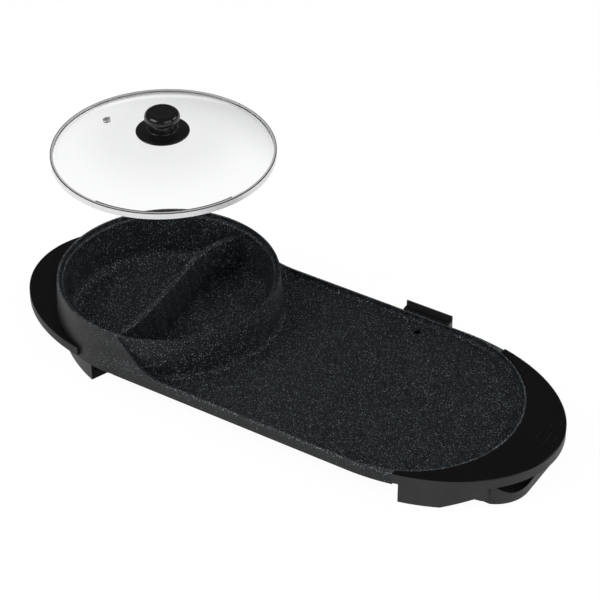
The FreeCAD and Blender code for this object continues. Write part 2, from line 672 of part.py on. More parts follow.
def left_handle(pot):
    """Crescent moulding open underneath, with radial ribs and a screw post over each lug."""
    shell = half_oval(0, -1, HANDLE_REACH, END_HALF_WIDTH, HANDLE_BOTTOM, HANDLE_TOP)
    shell = shell.common(block(-BIG, -HANDLE_TIP_X, -BIG, BIG, 0, BIG))
    rim = [e for e in shell.Edges if e.BoundBox.ZMin > HANDLE_TOP - 0.01 and e.BoundBox.XLength > 50]
    shell = shell.makeFillet(EDGE_R, rim)
    hollow = half_oval(0, -1, HANDLE_REACH - SHELL_WALL, END_HALF_WIDTH - SHELL_WALL,
                       HANDLE_BOTTOM - 1, HANDLE_TOP - SHELL_WALL)
    hollow = hollow.common(block(-BIG, -HANDLE_TIP_X - HANDLE_TIP_WALL, -BIG, BIG, 0, BIG))
    hollow = hollow.cut(disc(SKIRT_R + SHELL_WALL, 0, BIG))
    for angle in HANDLE_RIBS:
        rib = polar_block(0, angle, 0, HANDLE_REACH, RIB, HANDLE_BOTTOM + RIB_SHORT, HANDLE_TOP)
        hollow = hollow.cut(rib)
    for angle in HANDLE_LUGS:
        x, y = polar_point(0, angle, LUG_R)
        hollow = hollow.cut(disc(POST_R, LUG_TOP, HANDLE_TOP, x, y))
    shell = shell.cut(hollow).cut(pot)
    for angle in HANDLE_LUGS:
        x, y = polar_point(0, angle, LUG_R)
        shell = shell.cut(disc(SCREW_R + SCREW_PLAY, LUG_TOP - 1.0, HANDLE_TOP - 1.5, x, y))
    return shell.removeSplitter()


def left_leg(pot):
    """Leg under the handle's front tip: a sole block below the pot and a web that rises inside the skirt."""
    web_top = HANDLE_BOTTOM - 1.0
    block_top = LEG_CLEARANCE + LEG_BLOCK_HEIGHT
    inner = LEFT_LEG_R - LEFT_LEG_DEPTH
    centre_x, centre_y = LEFT_LEG_CENTRE
    start = 180.0 + math.degrees(math.acos((LEFT_LEG_X + centre_x) / LEFT_LEG_R))
    leg = turned([
        (inner, LEG_CLEARANCE), (LEFT_LEG_R, LEG_CLEARANCE), (LEFT_LEG_R, web_top),
        (LEFT_LEG_R - LEFT_LEG_WEB, web_top), (LEFT_LEG_R - LEFT_LEG_WEB, block_top, 2.0), (inner, block_top),
    ], centre_x, centre_y, LEFT_LEG_SWEEP, start - LEFT_LEG_SWEEP)
    leg = leg.cut(pot)

    def seat(share, r):
        angle = math.radians(start - LEFT_LEG_SWEEP * share)
        return centre_x + r * math.cos(angle), centre_y + r * math.sin(angle)

    seats = [seat(share, inner + LEFT_LEG_SEAT_INSET) for share in LEFT_LEG_SEATS]
    for x, y in seats:
        leg = leg.fuse(disc(POST_R, LEG_CLEARANCE, POT_UNDER, x, y))
    for x, y in seats:
        leg = leg.cut(screw_way(x, y, 0, LEG_SCREW_SEAT))
    pad_at = seat(0.5, LEFT_LEG_R - PAD_R - SHELL_WALL)
    leg = leg.cut(disc(PAD_R, 0, PAD_HEIGHT, *pad_at))
    return leg.removeSplitter(), pad_at, seats


def control_housing(pan):
    """Tray-shaped moulding that carries the control panel on a step inside its rim."""
    body = control_end(0, HOUSING_BOTTOM, PANEL_TOP - 0.3)
    body = body.cut(control_end(PANEL_MARGIN, PANEL_TOP - PANEL_THICKNESS, BIG))
    body = body.cut(pan)
    inner = control_end(HOUSING_SIDE, HOUSING_BOTTOM + SHELL_WALL, BIG)
    inner = inner.cut(disc(SKIRT_R + SHELL_WALL, 0, BIG, GRIDDLE_LENGTH))
    inner = inner.common(block(EAR_X + HOUSING_TIP_WALL, BIG, -BIG, BIG, 0, BIG))
    for angle in BOARD_POST_ANGLES:
        x, y = polar_point(GRIDDLE_LENGTH, angle, BOARD_POST_R)
        inner = inner.cut(disc(BOARD_POST, 0, BOARD_Z, x, y))
    for x, y in BASE_SCREWS + list(leg_screw_points().values()):
        inner = inner.cut(disc(POST_R, 0, HOUSING_BOTTOM + POST_HEIGHT, x, y))
    for angle in HOUSING_LUGS:
        x, y = polar_point(GRIDDLE_LENGTH, angle, LUG_R)
        inner = inner.cut(disc(POST_R, 0, HOUSING_BOTTOM + POST_HEIGHT, x, y))
    body = body.cut(inner)
    for angle in HOUSING_LUGS:
        x, y = polar_point(GRIDDLE_LENGTH, angle, LUG_R)
        body = body.cut(screw_way(x, y, 0, HOUSING_BOTTOM + SCREW_HEAD))
    for x, y in BASE_SCREWS + list(leg_screw_points().values()):
        body = body.cut(disc(SCREW_R + SCREW_PLAY, 0, HOUSING_BOTTOM + POST_HEIGHT - 1.0, x, y))
    hole_top = HOUSING_BOTTOM + SHELL_WALL + 1
    lead_way = disc(LEAD_HOLE_R, 0, hole_top, GRIDDLE_LENGTH + LEAD_HOLE_X, LEAD_HOLE_Y)
    return body.cut(lead_way).removeSplitter()


def control_panel():
    """Smooth touch panel that fills the top of the housing."""
    sheet = control_end(PANEL_MARGIN + PANEL_GAP, PANEL_TOP - PANEL_THICKNESS, PANEL_TOP)
    sheet = sheet.cut(disc(skirt_radius(RIM_Z) + PANEL_GAP, 0, BIG, GRIDDLE_LENGTH))
    rim = [e for e in sheet.Edges if e.BoundBox.ZMin > PANEL_TOP - 0.01 and e.BoundBox.YLength > 200]
    return sheet.makeFillet(0.5, rim)


def touch_board():
    """Curved board that follows the panel, on the housing's posts."""
    board = control_end(BOARD_INSET, BOARD_Z, BOARD_Z + BOARD)
    board = board.cut(disc(BOARD_INNER_R, 0, BIG, GRIDDLE_LENGTH))
    return board.common(block(EAR_X, BIG, -BOARD_HALF, BOARD_HALF, 0, BIG))


def touch_springs():
    """Coil-shaped contacts between the board and the underside of the panel."""
    springs = []
    for angle in TOUCH_ANGLES:
        x, y = polar_point(GRIDDLE_LENGTH, angle, TOUCH_R)
        outer = disc(SPRING_R, BOARD_Z + BOARD, PANEL_TOP - PANEL_THICKNESS, x, y)
        springs.append(outer.cut(disc(SPRING_R - SPRING_WALL, 0, BIG, x, y)))
    return springs


def leg_screw_points():
    """Where the right legs' screws enter the housing."""
    side_x = GRIDDLE_LENGTH + LEG_SCREW_X
    side_y = control_end_y(LEG_SCREW_X) - LEG_SCREW_INSET
    outer_y = control_end_y(FRONT_SCREW_X) - FRONT_SCREW_INSET
    return {"front": (side_x, -side_y), "rear": (side_x, side_y),
            "front_outer": (GRIDDLE_LENGTH + FRONT_SCREW_X, -outer_y)}


def under_pan(grow, drop):
    """Room for the pan's round end above what stands under it."""
    return disc(SKIRT_R + grow, SKIRT_Z - drop, BIG, GRIDDLE_LENGTH)


def right_leg(screws):
    """Leg under the control end: a curved wall, a sole with ribs, and an arch with a tooth at its foot."""
    z_low = LEG_CLEARANCE
    x_low = GRIDDLE_LENGTH + RIGHT_LEG_X
    x_high = GRIDDLE_LENGTH + RIGHT_LEG_END
    arch_x = GRIDDLE_LENGTH + PANEL_REACH - ARCH_START

    def oval(inset, high):
        return half_oval(GRIDDLE_LENGTH, 1, PANEL_REACH - inset, END_HALF_WIDTH - inset, z_low, high)

    def band(depth, high):
        return oval(RIGHT_LEG_INSET, high).cut(oval(depth, high))

    leg = band(RIGHT_LEG_INSET + RIGHT_LEG_WALL, HOUSING_BOTTOM).common(block(x_low, x_high, -BIG, 0, 0, BIG))
    leg = leg.fuse(band(RIGHT_LEG_SOLE, z_low + SOLE_HEIGHT).common(block(x_low, arch_x, -BIG, 0, 0, BIG)))
    webs = band(RIGHT_LEG_SOLE, HOUSING_BOTTOM)
    for x in (x_low, (x_low + arch_x - RIB) / 2, arch_x - RIB):
        leg = leg.fuse(webs.common(block(x, x + RIB, -BIG, 0, 0, BIG)))
    for x, y in screws:
        leg = leg.fuse(disc(POST_R, z_low, HOUSING_BOTTOM, x, y))
    for x, y in screws:
        leg = leg.cut(screw_way(x, y, 0, LEG_SCREW_SEAT))
    arch = profile_bar([
        (arch_x, -1), (arch_x, z_low), (GRIDDLE_LENGTH + PANEL_REACH - ARCH_TOP, z_low + ARCH_HEIGHT),
        (GRIDDLE_LENGTH + PANEL_REACH - TOOTH_START, z_low + TOOTH_HEIGHT), (x_high + 1, z_low + TOOTH_HEIGHT + 1.0),
        (x_high + 1, -1),
    ], -BIG, 0)
    leg = leg.cut(arch).cut(under_pan(0.2, 0.1))
    pad_x = (x_low + arch_x) / 2 + PAD_SHIFT
    pad_edge = END_HALF_WIDTH * math.sqrt(1 - ((pad_x - GRIDDLE_LENGTH) / PANEL_REACH) ** 2)
    pad_at = (pad_x, -(pad_edge - RIGHT_LEG_SOLE / 2))
    leg = leg.cut(disc(PAD_R, 0, PAD_HEIGHT, *pad_at))
    return leg.removeSplitter(), pad_at


def base_outline(inset, z_low, z_high):
    """Plan of the control base: a box under the housing with a round-cornered end below the finger recess."""
    x_join = GRIDDLE_LENGTH + RIGHT_LEG_END + LEG_SEAM
    half = BASE_HALF_WIDTH - inset
    box = block(GRIDDLE_LENGTH + BASE_BACK + inset, x_join, -half, half, z_low, z_high)
    far = GRIDDLE_LENGTH + BASE_END - inset
    side = BASE_END_HALF - inset
    corner = BASE_CORNER_R - inset
    near = far - 2 * corner
    end = slab([(near, -side), (far, -side, corner), (far, side, corner), (near, side)], z_low, z_high)
    end = end.common(half_oval(GRIDDLE_LENGTH, 1, PANEL_REACH - inset, END_HALF_WIDTH - inset, z_low, z_high))
    return box.fuse(end.common(block(x_join, BIG, -BIG, BIG, z_low, z_high))).removeSplitter()


def grip_recess(drop):
    """What is cut away above the control base's ramp and floor, lowered by that much."""
    top = GRIDDLE_LENGTH + PANEL_REACH - GRIP_RAMP_TOP
    foot = GRIDDLE_LENGTH + PANEL_REACH - GRIP_RAMP_FOOT
    return profile_bar([
        (top, HOUSING_BOTTOM - drop), (foot, GRIP_FLOOR_Z - drop, 12.0), (BIG, GRIP_FLOOR_Z - drop),
        (BIG, HOUSING_BOTTOM + 5), (top, HOUSING_BOTTOM + 5),
    ], -BIG, BIG)


def control_base():
    """Lower casing of the control end, open underneath, with a ramped finger recess over its round end."""
    body = base_outline(0, LEG_CLEARANCE, HOUSING_BOTTOM).cut(grip_recess(0)).cut(under_pan(0.2, 0.1))
    hollow = base_outline(SHELL_WALL, 0, HOUSING_BOTTOM - SHELL_WALL)
    hollow = hollow.cut(grip_recess(SHELL_WALL)).cut(under_pan(SHELL_WALL, SHELL_WALL))
    for x, y in BASE_SCREWS:
        hollow = hollow.cut(disc(POST_R, 0, BIG, x, y))
    for x, y in board_corners():
        hollow = hollow.cut(disc(BOARD_POST, POWER_BOARD_Z + BOARD, BIG, x, y))
    for y in (-BASE_HALF_WIDTH / 2, 0, BASE_HALF_WIDTH / 2):
        x = GRIDDLE_LENGTH + PANEL_REACH - GRIP_RAMP_TOP + 4.0
        hollow = hollow.cut(block(x, BIG, y - RIB / 2, y + RIB / 2, BASE_PLATE_TOP, BIG))
    body = body.cut(hollow)
    for x, y in BASE_SCREWS:
        body = body.cut(screw_way(x, y, 0, LEG_SCREW_SEAT))
    body = body.cut(disc(LEAD_HOLE_R, GRIP_FLOOR_Z, BIG, GRIDDLE_LENGTH + LEAD_HOLE_X, LEAD_HOLE_Y))
    back = GRIDDLE_LENGTH + BASE_BACK
    body = body.cut(block(back - 1, back + SHELL_WALL + 1, -LEAD_WINDOW_HALF, LEAD_WINDOW_HALF,
                          LEAD_WINDOW_LOW, LEAD_WINDOW_HIGH))
    lead_z = inlet_pin_z()
    wall_y = BASE_HALF_WIDTH - SHELL_WALL - 1
    side = block(inlet_lead_x(0) - LEAD_HOLE_R, inlet_lead_x(1) + LEAD_HOLE_R, wall_y, BASE_HALF_WIDTH + 1,
                 lead_z - LEAD_HOLE_R, lead_z + LEAD_HOLE_R)
    return body.cut(side).removeSplitter()


def base_plate():
    """Flat cover that closes the control base from below, with vent slots and holes round the screw posts."""
    plate = base_outline(SHELL_WALL + 0.2, BASE_PLATE_TOP - BASE_SHEET, BASE_PLATE_TOP)
    for x, y in BASE_SCREWS:
        plate = plate.cut(disc(POST_R + 0.3, 0, BIG, x, y))
    first = GRIDDLE_LENGTH + BASE_BACK + 8.0
    for i in range(VENT_COUNT):
        plate = plate.cut(vent_slot(first + i * VENT_PITCH, VENT_HALF))
    return plate


def vent_slot(x, half):
    """Round-ended slot across the object, through any floor near the table."""
    r = VENT_WIDTH / 2 - 0.01
    return slab([(x, -half, r), (x + VENT_WIDTH, -half, r), (x + VENT_WIDTH, half, r), (x, half, r)], 0, 12.0)


# ---------------------------------------------------------------- electrics
def inlet_middle_z():
    return LEG_CLEARANCE + SOLE_HEIGHT + 1.0 + INLET_HEIGHT / 2


def inlet_pin_z():
    return inlet_middle_z() - INLET_PIN_DROP


def inlet_lead_x(i):
    """Where each supply lead turns in to the terminal block."""
    return GRIDDLE_LENGTH + POWER_BOARD_X + TERMINAL_INSET + TERMINAL_PITCH * i


def board_corners():
    """Posts that hold the power board under the control base's ceiling."""
    low = GRIDDLE_LENGTH + POWER_BOARD_X + BOARD_EDGE
    high = GRIDDLE_LENGTH + POWER_BOARD_X + POWER_BOARD_WIDTH - BOARD_EDGE
    far = POWER_BOARD_HALF - TERMINAL_LENGTH - BOARD_EDGE - 1.0
    return [(x, y) for x in (low, high) for y in (BOARD_EDGE - POWER_BOARD_HALF, far)]


def inlet_parts(leg):
    """Three-pin appliance inlet in a flat of the rear right leg."""
    x = GRIDDLE_LENGTH + INLET_X
    z = inlet_middle_z()
    half = INLET_WIDTH / 2
    low, high = z - INLET_HEIGHT / 2, z + INLET_HEIGHT / 2
    side = half + INLET_FLAT_SIDE
    back = INLET_FACE_Y - INLET_DEPTH
    flat_back = INLET_FACE_Y - INLET_FLAT
    flat = block(x - side, x + side, flat_back, INLET_FACE_Y, LEG_CLEARANCE, HOUSING_BOTTOM)
    beyond = block(x - side, x + side, INLET_FACE_Y, BIG, 0, HOUSING_BOTTOM)
    room = block(x - half - 1.0, x + half + 1.0, 0, flat_back, low - 0.4, BIG)
    opening = block(x - half, x + half, 0, BIG, low, high)
    leg = leg.cut(beyond).cut(room).fuse(flat).cut(opening).cut(under_pan(0.2, 0.1))
    chamfer = INLET_HEIGHT * 0.3

    def keyed(inset, y_low, y_high):
        return profile_bar([
            (x - half + inset, low + inset), (x + half - inset, low + inset),
            (x + half - inset, high - chamfer), (x + half - chamfer, high - inset),
            (x - half + chamfer, high - inset), (x - half + inset, high - chamfer),
        ], y_low, y_high)

    edge = half + INLET_FLANGE
    flange = profile_bar([
        (x - edge, low - 1.0, 1.5), (x + edge, low - 1.0, 1.5),
        (x + edge, high + 1.0, 1.5), (x - edge, high + 1.0, 1.5),
    ], INLET_FACE_Y, INLET_FACE_Y + INLET_FLANGE_SHEET)
    mouth = keyed(INLET_WALL, back + INLET_BACK, INLET_FACE_Y + INLET_FLANGE_SHEET)
    socket = keyed(0, back, INLET_FACE_Y).fuse(flange).cut(mouth).removeSplitter()
    wide, tall = INLET_PIN[0] / 2, INLET_PIN[1] / 2
    pins = []
    for place, rise in ((-1, -INLET_PIN_DROP), (0, INLET_EARTH_RISE), (1, -INLET_PIN_DROP)):
        pin_x = x + place * INLET_PIN_PITCH
        pins.append(block(pin_x - wide, pin_x + wide, back - INLET_PIN_TAIL, INLET_FACE_Y - INLET_PIN_SINK,
                          z + rise - tall, z + rise + tall))
    for pin in pins:
        socket = socket.cut(pin)
    return leg, socket, pins


def power_board():
    low = GRIDDLE_LENGTH + POWER_BOARD_X
    half = POWER_BOARD_HALF
    return block(low, low + POWER_BOARD_WIDTH, -half, half, POWER_BOARD_Z, POWER_BOARD_Z + BOARD)


def relays():
    """Two relays on the power board, one for each heater."""
    x = GRIDDLE_LENGTH + POWER_BOARD_X + POWER_BOARD_WIDTH / 2
    top = POWER_BOARD_Z + BOARD
    long, wide, tall = RELAY
    return [block(x - wide / 2, x + wide / 2, y - long / 2, y + long / 2, top, top + tall) for y in RELAY_Y]


def terminal_block():
    """Screw terminals where the supply leads arrive."""
    low = inlet_lead_x(0) - TERMINAL_SIDE
    high = inlet_lead_x(1) + TERMINAL_SIDE
    top = POWER_BOARD_Z + BOARD
    y_high = POWER_BOARD_HALF - 1.0
    body = block(low, high, y_high - TERMINAL_LENGTH, y_high, top, top + TERMINAL_HEIGHT)
    screw_z = top + TERMINAL_HEIGHT - 3.0
    for i in (0, 1):
        body = body.cut(disc(1.8, screw_z, BIG, inlet_lead_x(i), y_high - TERMINAL_LENGTH / 2))
    return body


def lead(points):
    return tube(points, LEAD_R, LEAD_BEND)


def supply_leads():
    """Leads from the inlet to the terminal block, and from the board to both heaters."""
    z = inlet_pin_z()
    pin_y = INLET_FACE_Y - INLET_DEPTH - INLET_PIN_TAIL
    leads = []
    for i, (side, out) in enumerate(((-1, 4.0), (1, 8.0))):
        pin_x = GRIDDLE_LENGTH + INLET_X + side * INLET_PIN_PITCH
        run_y = BASE_HALF_WIDTH + out
        leads.append(lead([(pin_x, pin_y, z), (pin_x, run_y, z), (inlet_lead_x(i), run_y, z),
                           (inlet_lead_x(i), POWER_BOARD_HALF - 1.0, z)]))
    solder_x = GRIDDLE_LENGTH + POWER_BOARD_X + 8.0
    board_top = POWER_BOARD_Z + BOARD
    low_z = board_top + LEAD_R + 0.2
    high_z = LEAD_WINDOW_HIGH - 3.0
    pot_x, pot_y = polar_point(0, HEATER_GAP / 2, POT_HEATER_RING)
    griddle_x, griddle_y, griddle_z = griddle_heater_line()[-1]
    end_x = griddle_x + 0.4
    for side in (-1, 1):
        leads.append(lead([(solder_x, side * 8.0, low_z), (pot_x + 0.7, side * 8.0, low_z),
                           (pot_x + 0.7, side * (pot_y - 0.6), low_z)]))
        y = side * 4.0
        leads.append(lead([(solder_x, y, board_top), (solder_x, y, high_z), (end_x, y, high_z),
                           (end_x, y, griddle_z), (end_x, side * (griddle_y - 0.6), griddle_z)]))
    return leads


# ---------------------------------------------------------------- underside
def pot_heater():
    """Ring heater under the pot, open where its leads leave."""
    up = Vector(0, 0, 1)
    ring = Part.makeTorus(POT_HEATER_RING, HEATER_R, Vector(0, 0, 0), up, -180, 180, 360 - HEATER_GAP)
    ring.rotate(Vector(0, 0, 0), Vector(0, 0, 1), HEATER_GAP / 2)
    ring.translate(Vector(0, 0, POT_UNDER - HEATER_R))
    return ring


def griddle_heater_line():
    z = GRIDDLE_UNDER - HEATER_R
    half = GRIDDLE_HEATER_HALF
    far = GRIDDLE_LENGTH + COVER_RIGHT - HEATER_END
    near = COVER_LEFT + HEATER_END * 1.5
    return [(far, -HEATER_END, z), (far - HEATER_END, -half, z), (near, -half, z), (near, half, z),
            (far - HEATER_END, half, z), (far, HEATER_END, z)]


def heater_beads():
    """Ceramic sleeves over the cold ends of both heaters."""
    sleeve = disc(HEATER_R + 1.6, 0, BEAD_LENGTH).cut(disc(HEATER_R + 0.1, -1, BEAD_LENGTH + 1))
    beads = []
    line = griddle_heater_line()
    for side in (-1, 1):
        bead = sleeve.copy()
        start = Vector(line[0][0], side * -line[0][1], line[0][2])
        toward = Vector(line[1][0], side * -line[1][1], line[1][2])
        spin = FreeCAD.Rotation(Vector(0, 0, 1), toward - start)
        bead.Placement = FreeCAD.Placement(start, spin)
        beads.append(bead.common(block(-BIG, BIG, -BIG, BIG, 0, GRIDDLE_UNDER)))
        x, y = polar_point(0, side * HEATER_GAP / 2, POT_HEATER_RING)
        bead = sleeve.copy()
        spin = FreeCAD.Rotation(Vector(0, 0, 1), Vector(y * -side, x * side, 0) * -1)
        bead.Placement = FreeCAD.Placement(Vector(x, y, POT_UNDER - HEATER_R), spin)
        beads.append(bead.common(block(-BIG, BIG, -BIG, BIG, 0, POT_UNDER)))
    return beads


def heater_clips():
    """Straps that hold the heaters up against the pan."""
    def strap(z_top):
        low = z_top - 2 * HEATER_R
        inner = HEATER_R + 0.1
        outer = inner + CLIP_SHEET
        return profile_bar([
            (-CLIP_REACH, z_top), (-CLIP_REACH, z_top - CLIP_SHEET), (-outer, z_top - CLIP_SHEET),
            (-outer, low - CLIP_SHEET - 0.2, outer), (outer, low - CLIP_SHEET - 0.2, outer),
            (outer, z_top - CLIP_SHEET), (CLIP_REACH, z_top - CLIP_SHEET), (CLIP_REACH, z_top),
            (inner, z_top),
            (inner, low - 0.2, inner), (-inner, low - 0.2, inner), (-inner, z_top),
        ], -CLIP_WIDTH / 2, CLIP_WIDTH / 2)

    clips = []
    for angle in (90.0, 180.0, 270.0):
        clip = strap(POT_UNDER)
        clip.translate(Vector(POT_HEATER_RING, 0, 0))
        clip.rotate(Vector(0, 0, 0), Vector(0, 0, 1), angle)
        clips.append(clip)
    line = griddle_heater_line()
    for share in (0.25, 0.75):
        for side in (-1, 1):
            clip = strap(GRIDDLE_UNDER)
            clip.rotate(Vector(0, 0, 0), Vector(0, 0, 1), 90)
            x = line[1][0] + (line[2][0] - line[1][0]) * share
            clip.translate(Vector(x, side * GRIDDLE_HEATER_HALF, 0))
            clips.append(clip)
    return clips


def thermostat(x, y, z_top):
    """Snap-disc thermostat against the pan, with two terminals."""
    low = z_top - THERMOSTAT_HEIGHT
    r = THERMOSTAT_BODY_R
    step = z_top - 1.0
    body = turned([
        (0, z_top), (THERMOSTAT_R, z_top), (THERMOSTAT_R, step), (r, step), (r, low, 1.0), (0, low),
    ], x, y)
    thick, wide, long = TERMINAL_TAB
    for side in (-1, 1):
        tab_y = y + side * TAB_Y
        tab = block(x - thick / 2, x + thick / 2, tab_y - wide / 2, tab_y + wide / 2, low - long, low + 0.1)
        body = body.fuse(tab)
    return body.removeSplitter()


def thermal_fuse():
    """Cut-out in a sleeve beside the griddle heater."""
    x = COVER_LEFT + FUSE_X
    z = GRIDDLE_UNDER - FUSE_R - 0.1
    body = Part.makeCylinder(FUSE_R, FUSE_LENGTH, Vector(x, FUSE_Y, z), Vector(1, 0, 0))
    long, wide = FUSE_SADDLE
    x_low = x + (FUSE_LENGTH - long) / 2
    saddle = block(x_low, x_low + long, FUSE_Y - wide / 2, FUSE_Y + wide / 2, z - FUSE_R - 0.5, GRIDDLE_UNDER)
    return body.fuse(saddle).removeSplitter()


def base_cover():
    """Pressed cover under the griddle, with a flange all round, vent slots and a wire duct to the pot."""
    right = GRIDDLE_LENGTH + COVER_RIGHT
    rim = COVER_HALF_WIDTH - COVER_WALL_Y

    def pan(margin, z_low, z_high):
        corner = COVER_CORNER_R - margin * 0.5
        low, high = COVER_LEFT + margin, right - margin
        half = COVER_HALF_WIDTH - margin
        corners = [(low, -half, corner), (high, -half, corner), (high, half, corner), (low, half, corner)]
        return slab(corners, z_low, z_high)

    cover = pan(rim, COVER_BOTTOM_Z, GRIDDLE_UNDER).fuse(pan(0, GRIDDLE_UNDER - COVER_SHEET, GRIDDLE_UNDER))
    duct = block(POT_COVER_R + 0.3, COVER_LEFT + rim, -DUCT_HALF, DUCT_HALF, COVER_BOTTOM_Z, POT_UNDER)
    cover = cover.fuse(duct).cut(pan(rim + COVER_SHEET, COVER_BOTTOM_Z + COVER_SHEET, BIG))
    inside = block(0, COVER_LEFT + rim + COVER_SHEET + 1, COVER_SHEET - DUCT_HALF, DUCT_HALF - COVER_SHEET,
                   COVER_BOTTOM_Z + COVER_SHEET, POT_UNDER + 1)
    window = block(right - rim - COVER_SHEET - 1, right, -LEAD_WINDOW_HALF, LEAD_WINDOW_HALF,
                   LEAD_WINDOW_LOW, LEAD_WINDOW_HIGH)
    cover = cover.cut(inside).cut(window)
    for x in cover_slots():
        cover = cover.cut(vent_slot(x, COVER_SLOT_HALF))
    for x, y in cover_screw_points():
        cover = cover.cut(disc(SCREW_R + SCREW_PLAY, 0, BIG, x, y))
    return cover.removeSplitter()


def cover_slots():
    middle = (COVER_LEFT + GRIDDLE_LENGTH + COVER_RIGHT) / 2
    return [middle + (i - (COVER_SLOTS - 1) / 2) * 2 * VENT_PITCH for i in range(COVER_SLOTS)]


def cover_screw_points():
    low = COVER_LEFT + COVER_CORNER_R + COVER_SCREW_INSET
    high = GRIDDLE_LENGTH + COVER_RIGHT - COVER_CORNER_R - COVER_SCREW_INSET
    y = (COVER_HALF_WIDTH + COVER_WALL_Y) / 2
    return [(x, side * y) for x in (low, (low + high) / 2, high) for side in (-1, 1)]


def pot_screw_points():
    return [polar_point(0, angle, POT_COVER_R - POT_COVER_FLANGE / 2) for angle in POT_SCREW_ANGLES]


def pot_base_cover():
    """Pressed dish under the pot, with a flange, two rings of vent slots and a gap for the wire duct."""
    wall = POT_COVER_R - POT_COVER_FLANGE
    flange_low = POT_UNDER - COVER_SHEET
    inside = POT_COVER_Z + COVER_SHEET
    dish = turned([
        (0, POT_COVER_Z), (wall, POT_COVER_Z, 3.0), (wall, flange_low), (POT_COVER_R, flange_low),
        (POT_COVER_R, POT_UNDER), (wall - COVER_SHEET, POT_UNDER),
        (wall - COVER_SHEET, inside, 3.0 - COVER_SHEET), (0, inside),
    ])
    half = VENT_WIDTH / 2
    for start, count in POT_SLOT_RINGS:
        end = start + POT_SLOT_LENGTH
        r = half - 0.01
        corners = [(start, -half, r), (end, -half, r), (end, half, r), (start, half, r)]
        slot = slab(corners, 0, POT_UNDER - 5.0)
        for i in range(count):
            cutter = slot.copy()
            cutter.rotate(Vector(0, 0, 0), Vector(0, 0, 1), 360.0 * (i + 0.5) / count)
            dish = dish.cut(cutter)
    inner_half = DUCT_HALF - COVER_SHEET
    duct_z = COVER_BOTTOM_Z + COVER_SHEET
    dish = dish.cut(block(wall - 10.0, BIG, -inner_half, inner_half, duct_z, POT_UNDER + 1))
    for x, y in pot_screw_points():
        dish = dish.cut(disc(SCREW_R + SCREW_PLAY, 0, BIG, x, y))
    return dish.removeSplitter()


# ---------------------------------------------------------------- drip tray
def drip_tray():
    """Pull-out cup under the drain, with lips that hang in runners and a tall outer wall to pull it by."""
    half = TRAY_WIDTH / 2
    cup_half = half - TRAY_LIP - TRAY_CLEARANCE
    lip_top = SKIRT_Z - TRAY_SKIRT_GAP
    face_y = SKIRT_R + TRAY_SKIRT_GAP
    outer = TRAY_OUTER_Y - TRAY_WALL
    cup = block(TRAY_X - cup_half, TRAY_X + cup_half, TRAY_INNER_Y, TRAY_OUTER_Y, TRAY_BOTTOM_Z, lip_top)
    cup = cup.makeFillet(TRAY_CORNER_R, [e for e in cup.Edges if e.BoundBox.ZMax < TRAY_BOTTOM_Z + 0.01])
    lips = block(TRAY_X - half, TRAY_X + half, TRAY_INNER_Y, TRAY_OUTER_Y, lip_top - LIP_SHEET, lip_top)
    front = block(TRAY_X - half, TRAY_X + half, face_y, outer, lip_top - LIP_SHEET, RIM_Z)
    grip = block(TRAY_X - half, TRAY_X + half, outer, TRAY_OUTER_Y, lip_top - LIP_SHEET, RIM_Z + TRAY_GRIP)
    tops = [e for e in grip.Edges if e.BoundBox.ZMin > RIM_Z and e.BoundBox.XLength > TRAY_WALL]
    grip = grip.makeFillet(TRAY_EDGE_R, tops)
    body = joined([cup, lips, front, grip])
    inner_half = cup_half - TRAY_WALL
    hollow = block(TRAY_X - inner_half, TRAY_X + inner_half, TRAY_INNER_Y + TRAY_WALL, outer,
                   TRAY_BOTTOM_Z + TRAY_WALL, lip_top + 0.01)
    low = [e for e in hollow.Edges if e.BoundBox.ZMax < TRAY_BOTTOM_Z + TRAY_WALL + 0.01]
    hollow = hollow.makeFillet(TRAY_CORNER_R - TRAY_WALL, low)
    inner = half - TRAY_WALL
    well = block(TRAY_X - inner, TRAY_X + inner, face_y + TRAY_WALL, outer, lip_top, BIG)
    return body.cut(hollow).cut(well).removeSplitter()


def tray_runners():
    """Bent sheet rails under the griddle that carry the tray's lips."""
    ledge_top = SKIRT_Z - TRAY_SKIRT_GAP - LIP_SHEET - TRAY_CLEARANCE
    ledge_low = ledge_top - RUNNER_SHEET
    side = TRAY_WIDTH / 2 + TRAY_CLEARANCE
    toe = side - TRAY_LIP + 0.8
    out = side + RUNNER_SHEET
    flange = out + RUNNER_FLANGE
    flange_low = GRIDDLE_UNDER - RUNNER_SHEET
    outline = [(toe, ledge_top), (side, ledge_top), (side, GRIDDLE_UNDER), (flange, GRIDDLE_UNDER),
               (flange, flange_low), (out, flange_low), (out, ledge_low), (toe, ledge_low)]
    runners = []
    for sign in (-1, 1):
        points = [(TRAY_X + sign * x, z) for x, z in outline]
        rail = profile_bar(points, TRAY_INNER_Y, SKIRT_R - SKIRT_WALL - 1.0)
        for x, y in runner_screw_points():
            rail = rail.cut(disc(SCREW_R + SCREW_PLAY, 0, BIG, x, y))
        runners.append(rail)
    return runners


def runner_screw_points():
    x = TRAY_WIDTH / 2 + TRAY_CLEARANCE + RUNNER_SHEET + RUNNER_FLANGE / 2 + 0.3
    ends = (TRAY_INNER_Y + RUNNER_FLANGE, SKIRT_R - SKIRT_WALL - 1.0 - RUNNER_FLANGE)
    return [(TRAY_X + sign * x, y) for sign in (-1, 1) for y in ends]


